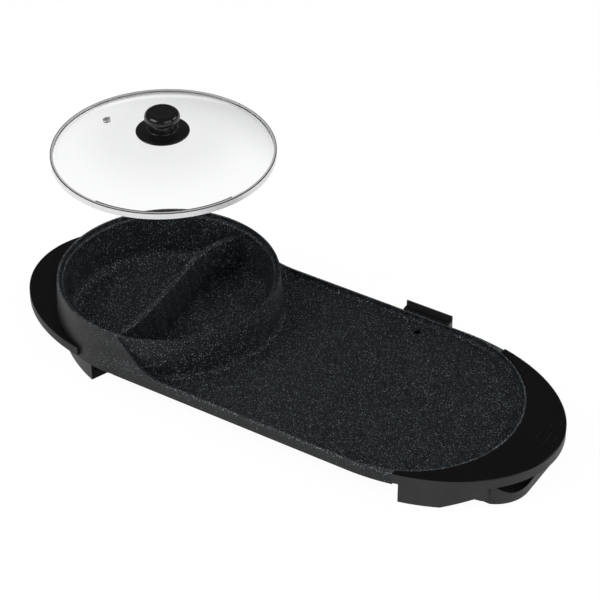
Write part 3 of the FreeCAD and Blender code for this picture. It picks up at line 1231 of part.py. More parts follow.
# ---------------------------------------------------------------- lid
def lid_rim():
    """Rolled steel band folded over the glass edge, with an inner return below it."""
    low = LID_Z - LID_BAND
    inner = LID_R - LID_FOLD
    glass_low = GLASS_EDGE_Z - LID_GLASS
    return turned([
        (LID_R, low, 0.5), (LID_R, LID_Z, 0.5), (inner, LID_Z), (inner, GLASS_EDGE_Z),
        (LID_R - LID_STEEL, GLASS_EDGE_Z), (LID_R - LID_STEEL, low + LID_STEEL),
        (inner + LID_RETURN + LID_STEEL, low + LID_STEEL), (inner + LID_RETURN + LID_STEEL, glass_low),
        (inner + LID_RETURN, glass_low), (inner + LID_RETURN, low),
    ])


def vent_axis():
    """Point on the glass where the vent sits, and the direction square to the glass there."""
    centre_z = LID_APEX - LID_SPHERE
    turn = math.radians(VENT_TURN)
    x = VENT_OFFSET * math.cos(turn)
    y = VENT_OFFSET * math.sin(turn)
    z = centre_z + math.sqrt(LID_SPHERE ** 2 - VENT_OFFSET ** 2)
    return Vector(x, y, z), Vector(x, y, z - centre_z).normalize()


def on_vent_axis(shape):
    point, axis = vent_axis()
    piece = shape.copy()
    piece.Placement = FreeCAD.Placement(point, FreeCAD.Rotation(Vector(0, 0, 1), axis))
    return piece


def dome_arc(radius, r_from, r_to):
    centre_z = LID_APEX - LID_SPHERE
    points = []
    for r in (r_from, (r_from + r_to) / 2, r_to):
        points.append(Vector(r, 0, centre_z + math.sqrt(radius ** 2 - r ** 2)))
    return Part.Arc(*points).toShape(), points[0], points[2]


def lid_glass():
    """Domed glass with a flat edge for the band, a hole for the knob and one for the vent."""
    inner_sphere = LID_SPHERE - LID_GLASS
    edge_r = LID_R - LID_STEEL - 0.2
    low_z = GLASS_EDGE_Z - LID_GLASS
    centre_z = LID_APEX - LID_SPHERE
    inner_edge = math.sqrt(inner_sphere ** 2 - (low_z - centre_z) ** 2)
    top, a, b = dome_arc(LID_SPHERE, KNOB_HOLE_R, LID_DOME_R)
    under, c, d = dome_arc(inner_sphere, inner_edge, KNOB_HOLE_R)
    chain = [b, Vector(edge_r, 0, GLASS_EDGE_Z), Vector(edge_r, 0, low_z), c]
    edges = [top] + [Part.LineSegment(chain[i], chain[i + 1]).toShape() for i in range(3)]
    edges += [under, Part.LineSegment(d, a).toShape()]
    face = Part.Face(Part.Wire(edges))
    glass = face.revolve(Vector(0, 0, 0), Vector(0, 0, 1), 360)
    return glass.cut(on_vent_axis(disc(VENT_BORE + VENT_WALL + 0.1, -10, 10)))


def vent_grommet():
    """Steel eyelet rolled over both faces of the glass."""
    tube_r = VENT_BORE + VENT_WALL
    low = -LID_GLASS - 0.1
    return on_vent_axis(turned([
        (VENT_BORE, low - 0.8), (VENT_R - 0.4, low - 0.8), (VENT_R - 0.4, low), (tube_r, low), (tube_r, 0.05),
        (VENT_R, 0.05), (VENT_R, 0.9, 0.4), (VENT_BORE, 0.9, 0.5),
    ]))


def knob_base():
    """Flared foot between the glass and the knob, hollow underneath."""
    z = LID_APEX
    top = z + KNOB_BASE_HEIGHT
    flange = KNOB_FLANGE_R
    collar = KNOB_NECK_R + KNOB_COLLAR
    return turned([
        (KNOB_HOLE_R, z), (11.0, z), (12.0, z + 1.0), (flange - 4.0, z + 1.0), (flange - 2.0, z - 1.2),
        (flange - 0.5, z - 1.3), (flange, z - 0.3, 0.4), (flange - 0.3, z + 0.6, 0.6),
        (collar + 3.0, top - 2.4, 6.0), (collar, top - 1.2, 0.6), (collar, top, 0.4), (KNOB_HOLE_R, top),
    ])


def lid_knob():
    """Thick neck under a round cap with a slightly dished top."""
    z = LID_APEX + KNOB_BASE_HEIGHT
    bore = SCREW_R + SCREW_PLAY
    neck = KNOB_NECK_R
    cap = KNOB_CAP_R
    under = z + KNOB_NECK
    top = under + KNOB_CAP
    return turned([
        (bore, z), (neck, z, 0.4), (neck, under - 1.0, 0.6), (neck - 0.8, under), (cap - 1.0, under + 2.2, 3.0),
        (cap, under + 5.5, 6.0), (cap - 1.7, top - 2.3, 6.0), (KNOB_TOP_R, top, 2.0),
        (KNOB_TOP_R - 2.2, top - 0.6, 3.0), (0, top - 0.8), (0, z + KNOB_BORE), (bore, z + KNOB_BORE),
    ])


def washer_top():
    return LID_APEX - LID_GLASS - KNOB_WASHER_GAP


def knob_washer():
    bore = SCREW_R + SCREW_PLAY
    top = washer_top()
    low = top - KNOB_WASHER
    return turned([(bore, top), (KNOB_WASHER_R, top), (KNOB_WASHER_R, low), (bore, low)])


def knob_screw():
    seat = washer_top() - KNOB_WASHER
    return screw(0, 0, seat, LID_APEX + KNOB_BASE_HEIGHT + KNOB_BORE - 1.0 - seat)


# ---------------------------------------------------------------- assembly
def pan_lugs(centre_x, angles, z_top):
    return joined([lug(centre_x, angle, z_top) for angle in angles])


def pilot_holes(points, z_low):
    return joined([disc(SCREW_R + SCREW_PLAY, z_low - 1, z_low + PILOT_DEPTH, x, y) for x, y in points])


def make_ends_and_legs(pot_envelope):
    leg, pad, screws = left_leg(pot_body())
    add("front_left_leg", leg)
    add("rear_left_leg", mirrored(leg))
    points = leg_screw_points()
    front, right_pad = right_leg([points["front"], points["front_outer"]])
    add("front_right_leg", front)
    rear = mirrored(right_leg([points["front"]])[0])
    rear, socket, pins = inlet_parts(rear)
    add("rear_right_leg", rear)
    add("inlet_socket", socket)
    add("inlet_pins", pins)
    pads = [(pad[0], pad[1]), (pad[0], -pad[1]), (right_pad[0], right_pad[1]), (right_pad[0], -right_pad[1])]
    feet = []
    for x, y in pads:
        feet.append(turned([(0, 0), (PAD_R - 0.2, 0, 0.6), (PAD_R - 0.2, PAD_HEIGHT), (0, PAD_HEIGHT)], x, y))
    add("foot_pads", feet)
    screws += [(x, -y) for x, y in screws]
    to_pot = POT_UNDER + PILOT_DEPTH - 0.4 - LEG_SCREW_SEAT
    to_housing = HOUSING_BOTTOM + POST_HEIGHT - 2.0 - LEG_SCREW_SEAT
    add("leg_screws", [screw(x, y, LEG_SCREW_SEAT, to_pot) for x, y in screws]
        + [screw(x, y, LEG_SCREW_SEAT, to_housing) for x, y in points.values()])
    add("left_handle", left_handle(pot_envelope.fuse(pan_lugs(0, HANDLE_LUGS, LUG_TOP))))
    add("handle_screws", [lug_screw(0, angle, LUG_TOP) for angle in HANDLE_LUGS])
    round_end = pot_envelope.copy()
    round_end.translate(Vector(GRIDDLE_LENGTH, 0, 0))
    round_end = round_end.fuse(pan_lugs(GRIDDLE_LENGTH, HOUSING_LUGS, HOUSING_LUG_TOP))
    add("control_housing", control_housing(round_end))
    lug_points = [polar_point(GRIDDLE_LENGTH, angle, LUG_R) for angle in HOUSING_LUGS]
    seat = HOUSING_BOTTOM + SCREW_HEAD
    add("housing_screws", [screw(x, y, seat, HOUSING_LUG_TOP - 0.4 - seat) for x, y in lug_points])
    add("control_panel", control_panel())
    add("touch_board", touch_board())
    add("touch_springs", touch_springs())
    add("control_base", control_base())
    add("base_plate", base_plate())
    add("base_screws", [screw(x, y, LEG_SCREW_SEAT, to_housing) for x, y in BASE_SCREWS])
    return screws


def make_pan(pot_envelope, leg_screws):
    pot = pot_body().fuse(collar()).fuse(pan_lugs(0, HANDLE_LUGS, LUG_TOP))
    pot = pot.cut(pilot_holes(pot_screw_points() + leg_screws, POT_UNDER))
    add("pot_shell", pot.removeSplitter())
    add("pot_divider", divider())
    plate = griddle(pot_envelope.fuse(collar())).fuse(pan_lugs(GRIDDLE_LENGTH, HOUSING_LUGS, HOUSING_LUG_TOP))
    plate = plate.cut(pilot_holes(cover_screw_points() + runner_screw_points(), GRIDDLE_UNDER))
    add("griddle_plate", plate.removeSplitter())


def make_underside():
    add("pot_heater", pot_heater())
    add("griddle_heater", tube(griddle_heater_line(), HEATER_R, GRIDDLE_HEATER_BEND))
    add("heater_beads", heater_beads())
    add("heater_clips", heater_clips())
    add("pot_thermostat", thermostat(0, 0, POT_UNDER))
    add("griddle_thermostat", thermostat((COVER_LEFT + GRIDDLE_LENGTH + COVER_RIGHT) / 2, 0, GRIDDLE_UNDER))
    add("thermal_fuse", thermal_fuse())
    add("base_cover", base_cover())
    add("pot_base_cover", pot_base_cover())
    shank = COVER_SHEET + PILOT_DEPTH - 0.4
    add("cover_screws", [screw(x, y, GRIDDLE_UNDER - COVER_SHEET, shank) for x, y in cover_screw_points()]
        + [screw(x, y, POT_UNDER - COVER_SHEET, shank) for x, y in pot_screw_points()])
    add("power_board", power_board())
    add("relays", relays())
    add("terminal_block", terminal_block())
    add("supply_leads", supply_leads())
    add("tray_runners", tray_runners())
    shank = RUNNER_SHEET + PILOT_DEPTH - 0.4
    add("runner_screws", [screw(x, y, GRIDDLE_UNDER - RUNNER_SHEET, shank) for x, y in runner_screw_points()])
    add("drip_tray", drip_tray())


def make_lid():
    add("lid_rim", lid_rim())
    add("lid_glass", lid_glass())
    add("vent_grommet", vent_grommet())
    add("knob_base", knob_base())
    add("lid_knob", lid_knob())
    add("knob_washer", knob_washer())
    add("knob_screw", knob_screw())


def export():
    """Write one STEP for each sub-part, with the object's box centred over the origin."""
    box = Part.makeCompound(list(pieces.values())).optimalBoundingBox(False, False)
    move = Vector(-(box.XMin + box.XMax) / 2, -(box.YMin + box.YMax) / 2, 0)
    os.makedirs("parts", exist_ok=True)
    for name, shape in pieces.items():
        shape = shape.copy()
        shape.translate(move)
        volume = sum(s.Volume for s in shape.Solids) / 1000
        print(f"{name} {len(shape.Solids)} {volume:.1f} cm3 {'ok' if shape.isValid() else 'INVALID'}")
        shape.exportStep(f"parts/{name}.step")
    print(f"move {move.x:.3f} {move.y:.3f} size {box.XLength:.1f} {box.YLength:.1f}")


envelope = pot_solid()
leg_points = make_ends_and_legs(envelope)
make_pan(envelope, leg_points)
make_underside()
make_lid()
export()
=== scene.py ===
"""Looks of a countertop cooker: a divided hot pot and a long griddle in one pan, with a glass lid.

Everything is in metres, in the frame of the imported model: +X runs from the pot to the control end, +Y to the
rear, and Z = 0 is the table.
"""
import math

import bmesh
import bpy
from mathutils import Matrix, Vector


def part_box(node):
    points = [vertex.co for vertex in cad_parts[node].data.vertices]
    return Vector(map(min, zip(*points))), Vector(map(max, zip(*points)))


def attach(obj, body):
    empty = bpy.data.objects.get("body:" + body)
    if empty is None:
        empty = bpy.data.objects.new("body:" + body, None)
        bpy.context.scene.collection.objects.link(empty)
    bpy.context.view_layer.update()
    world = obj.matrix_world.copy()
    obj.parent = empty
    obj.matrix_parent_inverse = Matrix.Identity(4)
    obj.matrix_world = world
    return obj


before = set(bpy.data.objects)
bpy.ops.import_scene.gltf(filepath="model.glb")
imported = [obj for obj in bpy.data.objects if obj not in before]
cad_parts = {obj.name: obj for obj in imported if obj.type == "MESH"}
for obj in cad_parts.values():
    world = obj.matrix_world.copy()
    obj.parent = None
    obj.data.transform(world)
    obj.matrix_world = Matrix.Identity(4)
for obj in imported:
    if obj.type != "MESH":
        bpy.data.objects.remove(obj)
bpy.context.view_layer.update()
MM = 0.001


# ---------------------------------------------------------------- places read from the frame
LID_LOW, LID_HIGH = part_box("lid_rim")
LID_CENTRE = (LID_LOW + LID_HIGH) / 2
LID_R = (LID_HIGH.x - LID_LOW.x) / 2
POT_X = LID_CENTRE.x
POT_Y = LID_CENTRE.y
POT_RIM_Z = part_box("pot_shell")[1].z
GRIDDLE_LOW, GRIDDLE_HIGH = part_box("griddle_plate")
SKIRT_Z = GRIDDLE_LOW.z         # foot of the pan's outer wall
SKIRT_R = (GRIDDLE_HIGH.y - GRIDDLE_LOW.y) / 2      # its radius there, at the pot and at the griddle's end


# ---------------------------------------------------------------- sizes of the pan that the boxes don't give
GRIDDLE_LENGTH = 330 * MM       # from the pot's axis to the centre of the griddle's round end
GRIDDLE_DROP = 43.4 * MM        # from the pot's rim down to the griddle's
POT_DRAFT = 3.6 * MM            # how much the outer wall draws in from its foot up to the pot's rim
LEDGE_R = 125.8 * MM            # rounded inner edge of the lid's seat in the pot
GRIDDLE_RIM_Z = POT_RIM_Z - GRIDDLE_DROP
ROUND_END_X = POT_X + GRIDDLE_LENGTH


def add_object(name, data):
    """Put a camera, a lamp or a mesh into the scene."""
    made = bpy.data.objects.new(name, data)
    bpy.context.scene.collection.objects.link(made)
    return made


# ---------------------------------------------------------------- camera
CAMERA_TURN = math.radians(32.10)       # to the right of straight in front
CAMERA_RISE = math.radians(36.95)
CAMERA_ROLL = math.radians(-0.08)
CAMERA_DISTANCE = 3.0625
CAMERA_LENS = 141.36            # lens and sensor are in mm
SENSOR_WIDTH = 36.0
AIM = Vector((POT_X + 0.0338, POT_Y + 0.2401, -0.0983))


def add_camera():
    data = bpy.data.cameras.new("camera")
    data.lens = CAMERA_LENS
    data.sensor_width = SENSOR_WIDTH
    camera = add_object("camera", data)
    away = Vector((math.sin(CAMERA_TURN) * math.cos(CAMERA_RISE),
                   -math.cos(CAMERA_TURN) * math.cos(CAMERA_RISE),
                   math.sin(CAMERA_RISE)))
    place = Matrix.Translation(AIM + away * CAMERA_DISTANCE)
    look = (-away).to_track_quat("-Z", "Y").to_matrix().to_4x4()
    camera.matrix_world = place @ look @ Matrix.Rotation(CAMERA_ROLL, 4, "Z")
    bpy.context.scene.camera = camera


# ---------------------------------------------------------------- lights
LIGHT_AIM = Vector((0, 0, 0.05))
SOFTBOXES = (           # name, place, width and height, power in watts
    ("key_softbox", (-1.2, -1.6, 1.9), (1.6, 1.2), 26),
    ("right_softbox", (2.3, -0.8, 1.5), (2.2, 2.2), 20),
    ("rear_softbox", (1.8, 1.7, 1.6), (1.4, 1.2), 14),
)


def add_lights():
    for name, place, size, power in SOFTBOXES:
        data = bpy.data.lights.new(name, "AREA")
        data.shape = "RECTANGLE"
        data.size, data.size_y = size
        data.energy = power
        light = add_object(name, data)
        light.location = place
        light.rotation_euler = (LIGHT_AIM - Vector(place)).to_track_quat("-Z", "Y").to_euler()


# ---------------------------------------------------------------- shader helpers
def feed(tree, value, socket):
    """Link an output to a socket, or set the socket to a number, a vector or a colour."""
    if hasattr(value, "is_linked"):
        tree.links.new(value, socket)
    elif isinstance(value, tuple) and socket.type == "RGBA":
        socket.default_value = (*value, 1.0)
    else:
        socket.default_value = value


def operate(tree, kind, operation, values):
    """Outputs of a new node that works on the values; each value is an output or a number."""
    node = tree.nodes.new(kind)
    node.operation = operation
    for value, socket in zip(values, node.inputs):
        feed(tree, value, socket)
    return node.outputs


def math_node(tree, operation, *values):
    return operate(tree, "ShaderNodeMath", operation, values)[0]


def vector_node(tree, operation, *values):
    """Outputs Vector and Value; a length comes out of Value."""
    return operate(tree, "ShaderNodeVectorMath", operation, values)


def parts_of(tree, vector):
    """Outputs X, Y and Z of a vector."""
    split = tree.nodes.new("ShaderNodeSeparateXYZ")
    tree.links.new(vector, split.inputs[0])
    return split.outputs


def join_parts(tree, x, y):
    """A vector from its X and Y, with no Z."""
    joined = tree.nodes.new("ShaderNodeCombineXYZ")
    tree.links.new(x, joined.inputs["X"])
    tree.links.new(y, joined.inputs["Y"])
    return joined.outputs[0]


def level_length(tree, x, y):
    return vector_node(tree, "LENGTH", join_parts(tree, x, y))["Value"]


def ramp(tree, value, low, high, to_low=0.0, to_high=1.0):
    """to_low where value is low, to_high where it is high, and a smooth change between."""
    node = tree.nodes.new("ShaderNodeMapRange")
    node.interpolation_type = "SMOOTHSTEP"
    for socket, given in (("From Min", low), ("From Max", high), ("To Min", to_low), ("To Max", to_high)):
        node.inputs[socket].default_value = given
    tree.links.new(value, node.inputs["Value"])
    return node.outputs[0]


NOISE_RANGE = (0.3, 0.7)        # nearly all of a noise lies between these values


def spread(tree, noise, low, high):
    """From low to high over the range of a noise."""
    return ramp(tree, noise, *NOISE_RANGE, low, high)


def blend_values(tree, factor, a, b):
    """a where factor is 0, b where it is 1; each is an output or a number."""
    node = tree.nodes.new("ShaderNodeMix")
    for place, value in ((0, factor), (2, a), (3, b)):
        feed(tree, value, node.inputs[place])
    return node.outputs[0]


def mix_colour(tree, factor, a, b):
    """a where factor is 0, b where it is 1; each is an output or a colour."""
    node = tree.nodes.new("ShaderNodeMix")
    node.data_type = "RGBA"
    for place, value in ((0, factor), (6, a), (7, b)):
        feed(tree, value, node.inputs[place])
    return node.outputs[2]


def add_noise(tree, vector, scale, detail):
    noise = tree.nodes.new("ShaderNodeTexNoise")
    noise.inputs["Detail"].default_value = detail
    feed(tree, scale, noise.inputs["Scale"])
    tree.links.new(vector, noise.inputs["Vector"])
    return noise.outputs["Fac"]


def new_group(name, inputs, outputs):
    """Node group with named sockets; returns the group, its input node and its output node."""
    group = bpy.data.node_groups.new(name, "ShaderNodeTree")
    for socket, kind, value in inputs:
        made = group.interface.new_socket(name=socket, in_out="INPUT", socket_type=kind)
        if value is not None:
            made.default_value = value
    for socket, kind in outputs:
        group.interface.new_socket(name=socket, in_out="OUTPUT", socket_type=kind)
    return group, group.nodes.new("NodeGroupInput"), group.nodes.new("NodeGroupOutput")


def place_group(tree, group, **values):
    """Place a group in a material, at the object's own coordinates; values are for its other sockets."""
    node = tree.nodes.new("ShaderNodeGroup")
    node.node_tree = group
    coordinates = tree.nodes.new("ShaderNodeTexCoord")
    tree.links.new(coordinates.outputs["Object"], node.inputs["Vector"])
    for key, value in values.items():
        feed(tree, value, node.inputs[key.replace("_", " ")])
    return node


def new_material(name):
    material = bpy.data.materials.new(name)
    material.use_nodes = True
    tree = material.node_tree
    return material, tree, tree.nodes["Principled BSDF"]


def add_bump(tree, shader, height, distance):
    bump = tree.nodes.new("ShaderNodeBump")
    bump.inputs["Distance"].default_value = distance
    tree.links.new(height, bump.inputs["Height"])
    tree.links.new(bump.outputs["Normal"], shader.inputs["Normal"])


# ---------------------------------------------------------------- shared effects
MOTTLE_PER_FLECK = 0.11         # clouds of the ground in one fleck's length
MOTTLE_RANGE = (0.36, 0.68)     # values of their noise between which the second tone comes in
DUST_PER_FLECK = 0.9            # grains of the finest spatter in one fleck's length
DUST_RANGE = (0.48, 0.72)
FLECK_LAYERS = (        # cell size and radius in fleck sizes, share of the cells filled, strength
    (2.0, 0.66, 0.80, 0.9), (1.6, 0.50, 0.65, 0.6), (3.9, 0.85, 0.45, 1.0),
)
FLECK_CORE = 0.45               # share of a fleck's radius that is at full strength
FAINTEST_FLECK = 0.25           # as a share of its layer's strength
PALE_SHARE = 0.55               # of the flecks; the others are cool


def build_speckles():
    """Small flecks of two colours scattered through a dark coating, of uneven size and strength."""
    group, given, out = new_group("coating_flecks", [
        ("Vector", "NodeSocketVector", None), ("Fleck Size", "NodeSocketFloat", 0.001),
        ("Amount", "NodeSocketFloat", 1.0), ("Ground", "NodeSocketColor", (0.01, 0.012, 0.015, 1)),
        ("Cloud", "NodeSocketColor", (0.015, 0.02, 0.022, 1)),
        ("Dust", "NodeSocketColor", (0.03, 0.035, 0.04, 1)),
        ("Pale Fleck", "NodeSocketColor", (0.3, 0.32, 0.33, 1)),
        ("Cool Fleck", "NodeSocketColor", (0.03, 0.10, 0.11, 1)),
    ], [("Color", "NodeSocketColor"), ("Fleck", "NodeSocketFloat")])
    vector = given.outputs["Vector"]
    per_metre = math_node(group, "DIVIDE", 1.0, given.outputs["Fleck Size"])
    mottle = add_noise(group, vector, math_node(group, "MULTIPLY", per_metre, MOTTLE_PER_FLECK), detail=3.0)
    colour = mix_colour(group, ramp(group, mottle, *MOTTLE_RANGE), given.outputs["Ground"],
                        given.outputs["Cloud"])
    dust = add_noise(group, vector, math_node(group, "MULTIPLY", per_metre, DUST_PER_FLECK), detail=1.0)
    colour = mix_colour(group, ramp(group, dust, *DUST_RANGE), colour, given.outputs["Dust"])
    total = None
    for size, radius, share, strength in FLECK_LAYERS:
        cells = group.nodes.new("ShaderNodeTexVoronoi")
        group.links.new(vector, cells.inputs["Vector"])
        group.links.new(math_node(group, "MULTIPLY", per_metre, 1.0 / size), cells.inputs["Scale"])
        chance = group.nodes.new("ShaderNodeSeparateColor")
        group.links.new(cells.outputs["Color"], chance.inputs["Color"])
        near = ramp(group, cells.outputs["Distance"], radius / size, radius / size * FLECK_CORE)
        filled = math_node(group, "MULTIPLY", given.outputs["Amount"], share)
        chosen = math_node(group, "GREATER_THAN", filled, chance.outputs["Red"])
        bright = ramp(group, chance.outputs["Green"], 0.0, 1.0, FAINTEST_FLECK * strength, strength)
        fleck = math_node(group, "MULTIPLY", math_node(group, "MULTIPLY", near, chosen), bright)
        cool = math_node(group, "GREATER_THAN", chance.outputs["Blue"], PALE_SHARE)
        tint = mix_colour(group, cool, given.outputs["Pale Fleck"], given.outputs["Cool Fleck"])
        colour = mix_colour(group, fleck, colour, tint)
        total = fleck if total is None else math_node(group, "MAXIMUM", total, fleck)
    group.links.new(colour, out.inputs["Color"])
    group.links.new(total, out.inputs["Fleck"])
    return group


def build_grain():
    """Fine moulded or sprayed texture: a height for bump and roughness, and soft clouds for the tone."""
    group, given, out = new_group("surface_grain", [
        ("Vector", "NodeSocketVector", None), ("Grain Size", "NodeSocketFloat", 0.0006),
        ("Cloud Size", "NodeSocketFloat", 0.03),
    ], [("Height", "NodeSocketFloat"), ("Cloud", "NodeSocketFloat")])
    for size, socket, detail in (("Grain Size", "Height", 3.0), ("Cloud Size", "Cloud", 4.0)):
        per_metre = math_node(group, "DIVIDE", 1.0, given.outputs[size])
        group.links.new(add_noise(group, given.outputs["Vector"], per_metre, detail), out.inputs[socket])
    return group


RINGS_PER_METRE = 2600.0


def build_turned_marks():
    """Fine rings that spinning leaves in sheet steel, and where a point is from an upright axis."""
    group, given, out = new_group("turned_marks", [
        ("Vector", "NodeSocketVector", None), ("Centre", "NodeSocketVector", None),
    ], [("Streak", "NodeSocketFloat"), ("Radius", "NodeSocketFloat"), ("Level", "NodeSocketFloat")])
    away = vector_node(group, "SUBTRACT", given.outputs["Vector"], given.outputs["Centre"])["Vector"]
    parts = parts_of(group, away)
    radius = level_length(group, parts["X"], parts["Y"])
    streak = add_noise(group, join_parts(group, radius, parts["Z"]), RINGS_PER_METRE, detail=2.0)
    group.links.new(streak, out.inputs["Streak"])
    group.links.new(radius, out.inputs["Radius"])
    group.links.new(parts["Z"], out.inputs["Level"])
    return group


WALL_DEPTH = 0.6 * MM           # what lies less than this inside the outer wall belongs to it
UPRIGHT = 0.5                   # if its normal's Z is less than this
ROUNDED = (0.2, 0.45)           # Z of the normal where a wall begins to round into its crest
CREST_WIDTH = 3.6 * MM          # how far in from the outer wall the rounded top of a rim reaches
CREST_FULL = 0.6                # share of that width which is fully pale
EDGE_WIDTH = 2.0 * MM           # painted highlight line along the rim's sharp edges
EDGE_FULL = 0.4
LEDGE_LOW = 6.5 * MM            # how far below the pot's rim the line on the lid's seat may reach
LEDGE_STRENGTH = 0.7
OVERSPRAY_DROP = 26 * MM        # how far flecks stray down the outer wall beside the griddle
OVERSPRAY_BACK = 70 * MM        # and how far back from the pot's axis
OVERSPRAY_FRONT = OVERSPRAY_BACK / 3    # they are at full strength from here on, in front of that axis


def build_pan_outside():
    """Places on the pan that its coating treats in their own way.

    Wall is 1 on the smooth outer walls. Crest is 1 along the rims' rounded tops, and less along the edge of
    the lid's seat, where the coating paints a highlight. Overspray is 1 beside the griddle's rim, and fades
    down the wall and back round the pot.
    """
    group, given, out = new_group("pan_outer_wall", [
        ("Vector", "NodeSocketVector", None), ("Normal", "NodeSocketVector", None),
    ], [("Wall", "NodeSocketFloat"), ("Crest", "NodeSocketFloat"), ("Overspray", "NodeSocketFloat")])
    place = parts_of(group, given.outputs["Vector"])
    up = parts_of(group, given.outputs["Normal"])["Z"]
    aside = math_node(group, "SUBTRACT", place["Y"], POT_Y)
    along = math_node(group, "MINIMUM", math_node(group, "MAXIMUM", place["X"], POT_X), ROUND_END_X)
    reach = level_length(group, math_node(group, "SUBTRACT", place["X"], along), aside)
    lean = POT_DRAFT / (POT_RIM_Z - SKIRT_Z)
    drawn_in = math_node(group, "MULTIPLY", place["Z"], lean)
    wall = math_node(group, "SUBTRACT", SKIRT_R + lean * SKIRT_Z, drawn_in)
    inward = math_node(group, "SUBTRACT", wall, reach)
    beyond = math_node(group, "LESS_THAN", inward, WALL_DEPTH)
    upright = math_node(group, "LESS_THAN", math_node(group, "ABSOLUTE", up), UPRIGHT)
    group.links.new(math_node(group, "MULTIPLY", beyond, upright), out.inputs["Wall"])

    top = ramp(group, inward, CREST_WIDTH, CREST_WIDTH * CREST_FULL)
    crest = math_node(group, "MULTIPLY", top, ramp(group, up, *ROUNDED))
    crest = math_node(group, "MAXIMUM", crest, ramp(group, inward, EDGE_WIDTH, EDGE_WIDTH * EDGE_FULL))
    pot_radius = level_length(group, math_node(group, "SUBTRACT", place["X"], POT_X), aside)
    off = math_node(group, "ABSOLUTE", math_node(group, "SUBTRACT", pot_radius, LEDGE_R))
    near_rim = math_node(group, "GREATER_THAN", place["Z"], POT_RIM_Z - LEDGE_LOW)
    line = ramp(group, off, EDGE_WIDTH, EDGE_WIDTH * EDGE_FULL, 0.0, LEDGE_STRENGTH)
    ledge = math_node(group, "MULTIPLY", line, near_rim)
    group.links.new(math_node(group, "MAXIMUM", crest, ledge), out.inputs["Crest"])

    low = ramp(group, place["Z"], GRIDDLE_RIM_Z - OVERSPRAY_DROP, GRIDDLE_RIM_Z)
    beside = ramp(group, place["X"], POT_X - OVERSPRAY_BACK, POT_X + OVERSPRAY_FRONT)
    group.links.new(math_node(group, "MULTIPLY", low, beside), out.inputs["Overspray"])
    return group


FLECKS = build_speckles()
GRAIN = build_grain()
TURNED = build_turned_marks()
PAN_OUTSIDE = build_pan_outside()


# ---------------------------------------------------------------- the pan's coating
FLECK_SIZE = 0.92 * MM
COAT_GRAIN = 0.5 * MM
COAT_CLOUD = 22 * MM
COAT_ROUGHNESS = (0.50, 0.64)
COAT_SPECULAR = 0.22
COAT_RELIEF = 0.03 * MM
FLECK_RELIEF = 0.6              # height of a fleck, where 1 is the height of the grain
CREST_AMOUNT = 1.8              # flecks on a crest, where 1 is the amount elsewhere
# painted highlight: pale tones on the rims' crests and on their flecks
CREST_HIGHLIGHT_TONE = (0.17, 0.18, 0.18)
CREST_COVER = 0.14              # how far that tone covers the coating on a crest
FLECK_HIGHLIGHT_TONE = (0.46, 0.48, 0.48)
FLECK_HIGHLIGHT_RANGE = (0.1, 0.8)        # strengths of a crest's flecks between which they turn pale, a painted highlight
FLECK_HIGHLIGHT_COVER = 0.8
WALL_PAINT = ((0.016, 0.0165, 0.0175), (0.021, 0.0215, 0.0225))
WALL_ROUGHNESS = 0.42
STRAY_FLECKS = (0.08, 0.7)      # strengths of the flecks between which they show on the paint
STRAY_COVER = 0.75


def granite_coat():
    """Speckled non-stick coating inside, a painted highlight along the rims' crests, and dark paint outside.
    """
    material, tree, shader = new_material("granite_coat")
    geometry = tree.nodes.new("ShaderNodeNewGeometry")
    outside = place_group(tree, PAN_OUTSIDE, Normal=geometry.outputs["True Normal"])
    wall = outside.outputs["Wall"]
    crest = outside.outputs["Crest"]
    flecks = place_group(tree, FLECKS, Fleck_Size=FLECK_SIZE,
                         Amount=ramp(tree, crest, 0.0, 1.0, 1.0, CREST_AMOUNT),
                         Ground=(0.0034, 0.0040, 0.0052), Cloud=(0.0054, 0.0070, 0.0088),
                         Dust=(0.021, 0.025, 0.029), Pale_Fleck=(0.44, 0.48, 0.53),
                         Cool_Fleck=(0.085, 0.145, 0.150))
    speckled = flecks.outputs["Color"]
    fleck = flecks.outputs["Fleck"]
    grain = place_group(tree, GRAIN, Grain_Size=COAT_GRAIN, Cloud_Size=COAT_CLOUD)

    # painted highlight along the crests and edges of the rims
    coat = mix_colour(tree, ramp(tree, crest, 0.0, 1.0, 0.0, CREST_COVER), speckled, CREST_HIGHLIGHT_TONE)
    highlit_flecks = math_node(tree, "MULTIPLY", crest, fleck)
    coat = mix_colour(tree, ramp(tree, highlit_flecks, *FLECK_HIGHLIGHT_RANGE, 0.0, FLECK_HIGHLIGHT_COVER), coat, FLECK_HIGHLIGHT_TONE)
    paint = mix_colour(tree, spread(tree, grain.outputs["Cloud"], 0.0, 1.0), *WALL_PAINT)
    stray = math_node(tree, "MULTIPLY", outside.outputs["Overspray"], fleck)
    paint = mix_colour(tree, ramp(tree, stray, *STRAY_FLECKS, 0.0, STRAY_COVER), paint, speckled)
    tree.links.new(mix_colour(tree, wall, coat, paint), shader.inputs["Base Color"])

    coated = spread(tree, grain.outputs["Height"], *COAT_ROUGHNESS)
    tree.links.new(blend_values(tree, wall, coated, WALL_ROUGHNESS), shader.inputs["Roughness"])
    shader.inputs["Specular IOR Level"].default_value = COAT_SPECULAR
    raised = math_node(tree, "MULTIPLY", fleck, FLECK_RELIEF)
    add_bump(tree, shader, math_node(tree, "ADD", grain.outputs["Height"], raised), COAT_RELIEF)
    return material


# ---------------------------------------------------------------- plastics
MOULD_GRAIN = 0.5 * MM
MOULD_RELIEF = 0.04 * MM
MOULD_TONES = (0.85, 1.12)      # shares of its tone between which a moulding drifts
MOULD_DRIFT = 0.05              # and its roughness, up and down
GREY = (0.030, 0.030, 0.031)
GREY_ROUGHNESS = 0.48
GREY_SPECULAR = 0.25
# painted shade, near black, for faces deep in the control base's recess and on the legs' inner side
PAINTED_DEEP_SHADE = (0.0012, 0.0012, 0.0013)
DEEP_ROUGHNESS = 0.95

# Which part of a face's direction brings in a moulding's second tone, a painted shade, and from and to what
# value.
UP_FACES = ("Z", 0.5, 0.9)
RECESS_FACES = ("Z", 0.25, 0.6)
LEG_INNER_FACES = ("X", 0.45, 0.8)


